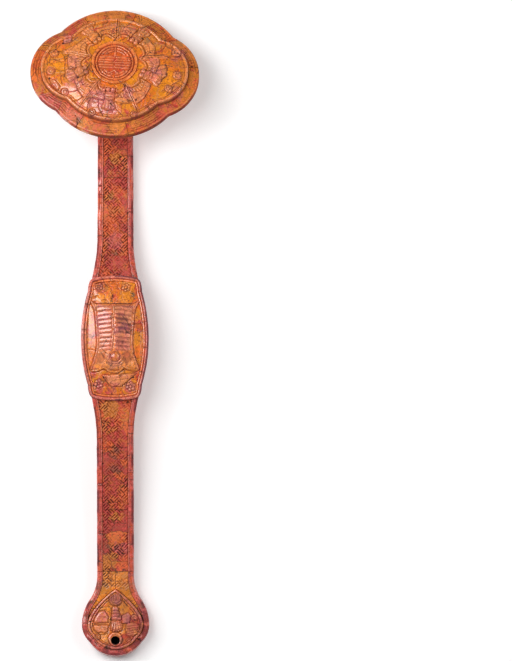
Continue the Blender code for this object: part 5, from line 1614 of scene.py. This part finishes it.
class Shader:
    """Short names for the nodes of a material."""

    def __init__(self, name):
        self.material = bpy.data.materials.new(name)
        self.material.use_nodes = True
        self.tree = self.material.node_tree
        self.surface = self.tree.nodes["Principled BSDF"]

    def node(self, kind, settings=(), **inputs):
        made = self.tree.nodes.new(kind)
        for key, value in dict(settings).items():
            setattr(made, key, value)
        for key, value in inputs.items():
            self.put(made.inputs[key.replace("_", " ")], value)
        return made

    def put(self, socket, value):
        if isinstance(value, bpy.types.NodeSocket):
            self.tree.links.new(value, socket)
        elif isinstance(value, tuple) and len(value) == 3 and socket.type == "RGBA":
            socket.default_value = (*value, 1.0)
        else:
            socket.default_value = value

    def finish(self, **inputs):
        """Sets the surface's own inputs."""
        for key, value in inputs.items():
            self.put(self.surface.inputs[key.replace("_", " ")], value)

    def math(self, operation, *values):
        made = self.node("ShaderNodeMath", {"operation": operation})
        for socket, value in zip(made.inputs, values):
            self.put(socket, value)
        return made.outputs[0]

    def product(self, first, *others):
        for other in others:
            first = self.math("MULTIPLY", first, other)
        return first

    def sum(self, start, *terms):
        """start plus each value times its factor."""
        for value, factor in terms:
            start = self.math("MULTIPLY_ADD", value, factor, start)
        return start

    def mix(self, factor, a, b, blend="MIX"):
        made = self.node("ShaderNodeMix", {"data_type": "RGBA", "blend_type": blend})
        for index, value in ((0, factor), (6, a), (7, b)):
            self.put(made.inputs[index], value)
        return made.outputs[2]

    def split(self, colour):
        return self.node("ShaderNodeSeparateColor", Color=colour).outputs

    def grey(self, value):
        return self.node("ShaderNodeCombineColor", Red=value, Green=value, Blue=value).outputs[0]

    def place(self):
        return self.node("ShaderNodeTexCoord").outputs["Object"]

    def ramp(self, value, low, high, start=0.0, end=1.0):
        """Maps a value from low..high to start..end with soft ends."""
        made = self.node("ShaderNodeMapRange", {"interpolation_type": "SMOOTHSTEP"})
        for socket, given in zip(made.inputs, (value, low, high, start, end)):
            self.put(socket, given)
        return made.outputs[0]

    def noise(self, vector, size, detail=3.0, roughness=0.55):
        """Cloudy noise whose lumps are about size millimetres across."""
        inputs = {"Vector": vector, "Scale": METRE / size, "Detail": detail, "Roughness": roughness}
        return self.node("ShaderNodeTexNoise", **inputs).outputs["Fac"]

    def bump(self, height, strength):
        made = self.node("ShaderNodeBump", Height=height, Strength=strength, Distance=BUMP)
        return made.outputs[0]


def realgar(name, ground, warm, turn, redness, polish, ior):
    """Polished realgar: fragments of ochre, orange and pinkish red with dark veins. The carving's marks
    darken the cuts and shaded sides with painted shade, lighten and blush the high spots with their rubbed
    tone and a painted highlight, and blacken the joints."""
    s = Shader(name)
    place = s.place()
    drift = s.node("ShaderNodeTexNoise", Vector=place, Scale=METRE / DRIFT_SIZE, Detail=2.0)
    warped = s.node("ShaderNodeVectorMath", {"operation": "MULTIPLY_ADD"})
    for socket, value in zip(warped.inputs, (drift.outputs["Color"], DRIFT, place)):
        s.put(socket, value)
    warped = warped.outputs[0]
    cloud = s.noise(place, CLOUD_SIZE, 4.0, 0.6)
    blotch = s.noise(warped, BLOTCH_SIZE, 5.0, 0.68)
    speck = s.noise(place, SPECK_SIZE, 4.0, 0.75)
    cells = {"Vector": warped, "Scale": METRE / FRAGMENT_SIZE}
    chance = s.split(s.node("ShaderNodeTexVoronoi", **cells).outputs["Color"])
    border = s.node("ShaderNodeTexVoronoi", {"feature": "DISTANCE_TO_EDGE"}, **cells)
    dots = s.node("ShaderNodeTexVoronoi", Vector=warped, Scale=METRE / DOT_SIZE).outputs
    marks, tints = (s.split(s.node("ShaderNodeAttribute", {"attribute_name": layer}).outputs["Color"])
                    for layer in ("carving", "tint"))
    hollow, raised, seam = marks
    blush, gold, stain = tints

    lean = s.sum(turn, (cloud, 0.5), (chance["Red"], 0.35), (blotch, 0.45), (gold, -0.5))
    colour = s.mix(s.ramp(lean, 0.42, 0.76), ground, warm)
    heat = s.sum(redness, (blush, 0.15), (chance["Green"], 0.3), (blotch, 1.0), (gold, -0.2))
    colour = s.mix(s.ramp(heat, 0.62, 0.84), colour, RED)
    flush = s.product(blush, s.ramp(s.noise(place, FLUSH_SIZE), 0.35, 0.6, 0.3, 0.9))
    colour = s.mix(flush, colour, PINK)
    # Painted highlight and rubbed tone on high spots.
    lit = s.product(raised, s.ramp(cloud, 0.35, 0.65, 0.3, 0.7), s.sum(1.0, (blush, -0.6)))
    colour = s.mix(lit, colour, s.mix(blush, PALE_RUB_AND_SHEEN, ROSY_RUB_AND_SHEEN))
    grain = s.product(s.ramp(speck, 0.3, 0.7, 0.8, 1.16), s.ramp(blotch, 0.25, 0.75, 0.7, 1.26))
    colour = s.mix(1.0, colour, s.grey(grain), "MULTIPLY")
    chosen = s.ramp(s.split(dots["Color"])["Blue"], 0.5, 0.68)
    colour = s.mix(s.product(s.ramp(dots["Distance"], 0.12, 0.3, 0.8, 0.0), chosen), colour, DOT)
    thread = s.math("ABSOLUTE", s.math("SUBTRACT", s.noise(warped, VEIN_SIZE, 3.0, 0.7), 0.5))
    vein = s.product(s.ramp(thread, 0.0, 0.028, 0.85, 0.0), s.ramp(blotch, 0.38, 0.52))
    colour = s.mix(vein, colour, VEIN)
    crack = s.product(s.ramp(border.outputs["Distance"], 0.0, 0.026, 0.9, 0.0),
                      s.ramp(chance["Blue"], 0.3, 0.55))
    colour = s.mix(crack, colour, CRACK)
    colour = s.mix(s.product(stain, s.ramp(blotch, 0.3, 0.6), 0.85), colour, MOSS)
    # Painted shade in cuts, at the feet of forms and on shaded sides.
    shaded = s.mix(1.0, colour, s.mix(blush, SHADE, PINK_SHADE), "MULTIPLY")
    colour = s.mix(s.product(hollow, s.ramp(blotch, 0.3, 0.7, 1.0, 0.85)), colour, shaded)
    colour = s.mix(s.product(seam, 0.95), colour, JOINT)

    dull = s.ramp(s.math("MAXIMUM", hollow, seam), 0.0, 0.3, 0.0, 0.7)
    shine = s.sum(s.ramp(blotch, 0.3, 0.7, polish, polish + 0.1), (raised, -0.06), (dull, 1.0))
    pits = s.sum(0.0, (blotch, 0.7), (speck, 0.35))
    s.finish(Base_Color=colour, Roughness=shine, IOR=ior, Normal=s.bump(pits, 0.25))
    return s.material


def wood(name, light, dark):
    """Plain timber with its grain along the scepter."""
    s = Shader(name)
    stretched = s.node("ShaderNodeMapping", Vector=s.place(), Scale=(1.0, 0.06, 1.0)).outputs[0]
    grain = s.noise(stretched, 1.3, 6.0, 0.65)
    s.finish(Base_Color=s.mix(s.ramp(grain, 0.35, 0.65), dark, light),
             Roughness=s.ramp(grain, 0.3, 0.7, 0.6, 0.8), Normal=s.bump(grain, 0.3))
    return s.material


FINISHES = {
    "realgar_ochre": realgar("realgar_ochre", OCHRE, FLAME, 0.0, -0.03, 0.17, 1.7),
    "realgar_orange": realgar("realgar_orange", AMBER, ORANGE, 0.12, 0.07, 0.28, 1.55),
    "realgar_red": realgar("realgar_red", ORANGE, SCARLET, 0.0, 0.0, 0.18, 1.65),
    "core_wood": wood("core_wood", (0.17, 0.085, 0.04), (0.10, 0.05, 0.025)),
    "dowel_wood": wood("dowel_wood", (0.42, 0.27, 0.14), (0.30, 0.18, 0.09)),
}
SLOTS = {row["node"]: row["material_slot"] for row in frame["record"]["subparts"]}


# Studio, in metres

CAMERA_HEIGHT = 4.0
VIEW_HEIGHT = 0.4627
VIEW_MIDDLE = Vector((0.0985, 0.0020, 0.016))
# Place, width, length and power of each lamp, which shines on the middle of the scepter
LAMPS = {
    "key": (Vector((-0.50, 0.28, 1.12)), 0.6, 0.8, 10.2),
    "side": (Vector((-0.95, 0.12, 0.72)), 0.4, 0.4, 4.0),
    "fill": (Vector((0.90, 0.10, 0.80)), 0.8, 0.8, 4.4),
}
HORIZON = 0.42
ZENITH = 0.18
DUSK = 0.7
FLOOR_SIZE = 6.0
FLOOR_GLOW = 0.25


def make_camera():
    """Looks straight down on the middle of the photograph, which lies to the scepter's right."""
    data = bpy.data.cameras.new("camera")
    data.lens = data.sensor_width / 2 / (VIEW_HEIGHT / 2 / CAMERA_HEIGHT)
    camera = bpy.data.objects.new("camera", data)
    camera.location = VIEW_MIDDLE + Vector((0.0, 0.0, CAMERA_HEIGHT))
    bpy.context.scene.collection.objects.link(camera)
    bpy.context.scene.camera = camera


def make_lamps():
    """A softbox high at the upper left, and weaker ones lower down on both sides."""
    for name, (place, width, length, power) in LAMPS.items():
        data = bpy.data.lights.new(name, "AREA")
        data.shape = "RECTANGLE"
        data.size = width
        data.size_y = length
        data.energy = power
        lamp = bpy.data.objects.new(name, data)
        lamp.location = place
        lamp.rotation_euler = (-place).to_track_quat("-Z", "Y").to_euler()
        bpy.context.scene.collection.objects.link(lamp)


def make_world():
    """Grey light from all round, paler at the horizon and darker overhead."""
    world = bpy.data.worlds.new("studio")
    bpy.context.scene.world = world
    world.use_nodes = True
    tree = world.node_tree
    way = tree.nodes.new("ShaderNodeSeparateXYZ")
    tree.links.new(tree.nodes.new("ShaderNodeTexCoord").outputs["Generated"], way.inputs[0])
    fade = tree.nodes.new("ShaderNodeMapRange")
    for socket, value in zip(fade.inputs[1:5], (0.0, DUSK, HORIZON, ZENITH)):
        socket.default_value = value
    tree.links.new(way.outputs["Z"], fade.inputs["Value"])
    tree.links.new(fade.outputs[0], tree.nodes["Background"].inputs["Color"])


def make_floor():
    """White paper that keeps the scepter's shadow, with painted shade below the tassel hole, where it is
    darkened and does not glow. Seen directly or in a reflection it also glows a little, so that it stays
    white."""
    bpy.ops.mesh.primitive_plane_add(size=FLOOR_SIZE)
    floor = bpy.context.active_object
    floor.name = "floor"
    s = Shader("paper")
    ray = s.node("ShaderNodeLightPath").outputs
    mirrored = s.math("MAXIMUM", ray["Is Glossy Ray"], ray["Is Transmission Ray"])
    seen = s.math("MAXIMUM", ray["Is Camera Ray"], mirrored)
    away = s.node("ShaderNodeVectorMath", {"operation": "DISTANCE"})
    s.put(away.inputs[0], s.place())
    away.inputs[1].default_value = HOLE_PLACE
    away = away.outputs["Value"]
    # Painted shade below the tassel hole: the paper is darkened there and does not glow.
    glow = s.product(seen, s.ramp(away, 0.012, 0.02, 0.0, FLOOR_GLOW))
    s.finish(Base_Color=s.grey(s.ramp(away, 0.006, 0.01, 0.02, 0.85)), Roughness=0.9,
             Emission_Color=(1.0, 1.0, 1.0), Emission_Strength=glow)
    floor.data.materials.append(s.material)


def main():
    for node in ("shaft_core", "head_board", "head_dowel_left", "head_dowel_right"):
        part = frame["nodes"][node]
        part.data.materials.clear()
        part.data.materials.append(FINISHES[SLOTS[node]])
    make_shaft()
    make_plaque()
    make_terminal()
    make_rim()
    make_dome()
    make_medallion()
    make_head_backs()
    make_floor()
    make_world()
    make_lamps()
    make_camera()
    bpy.context.scene.view_settings.view_transform = "Standard"


main()
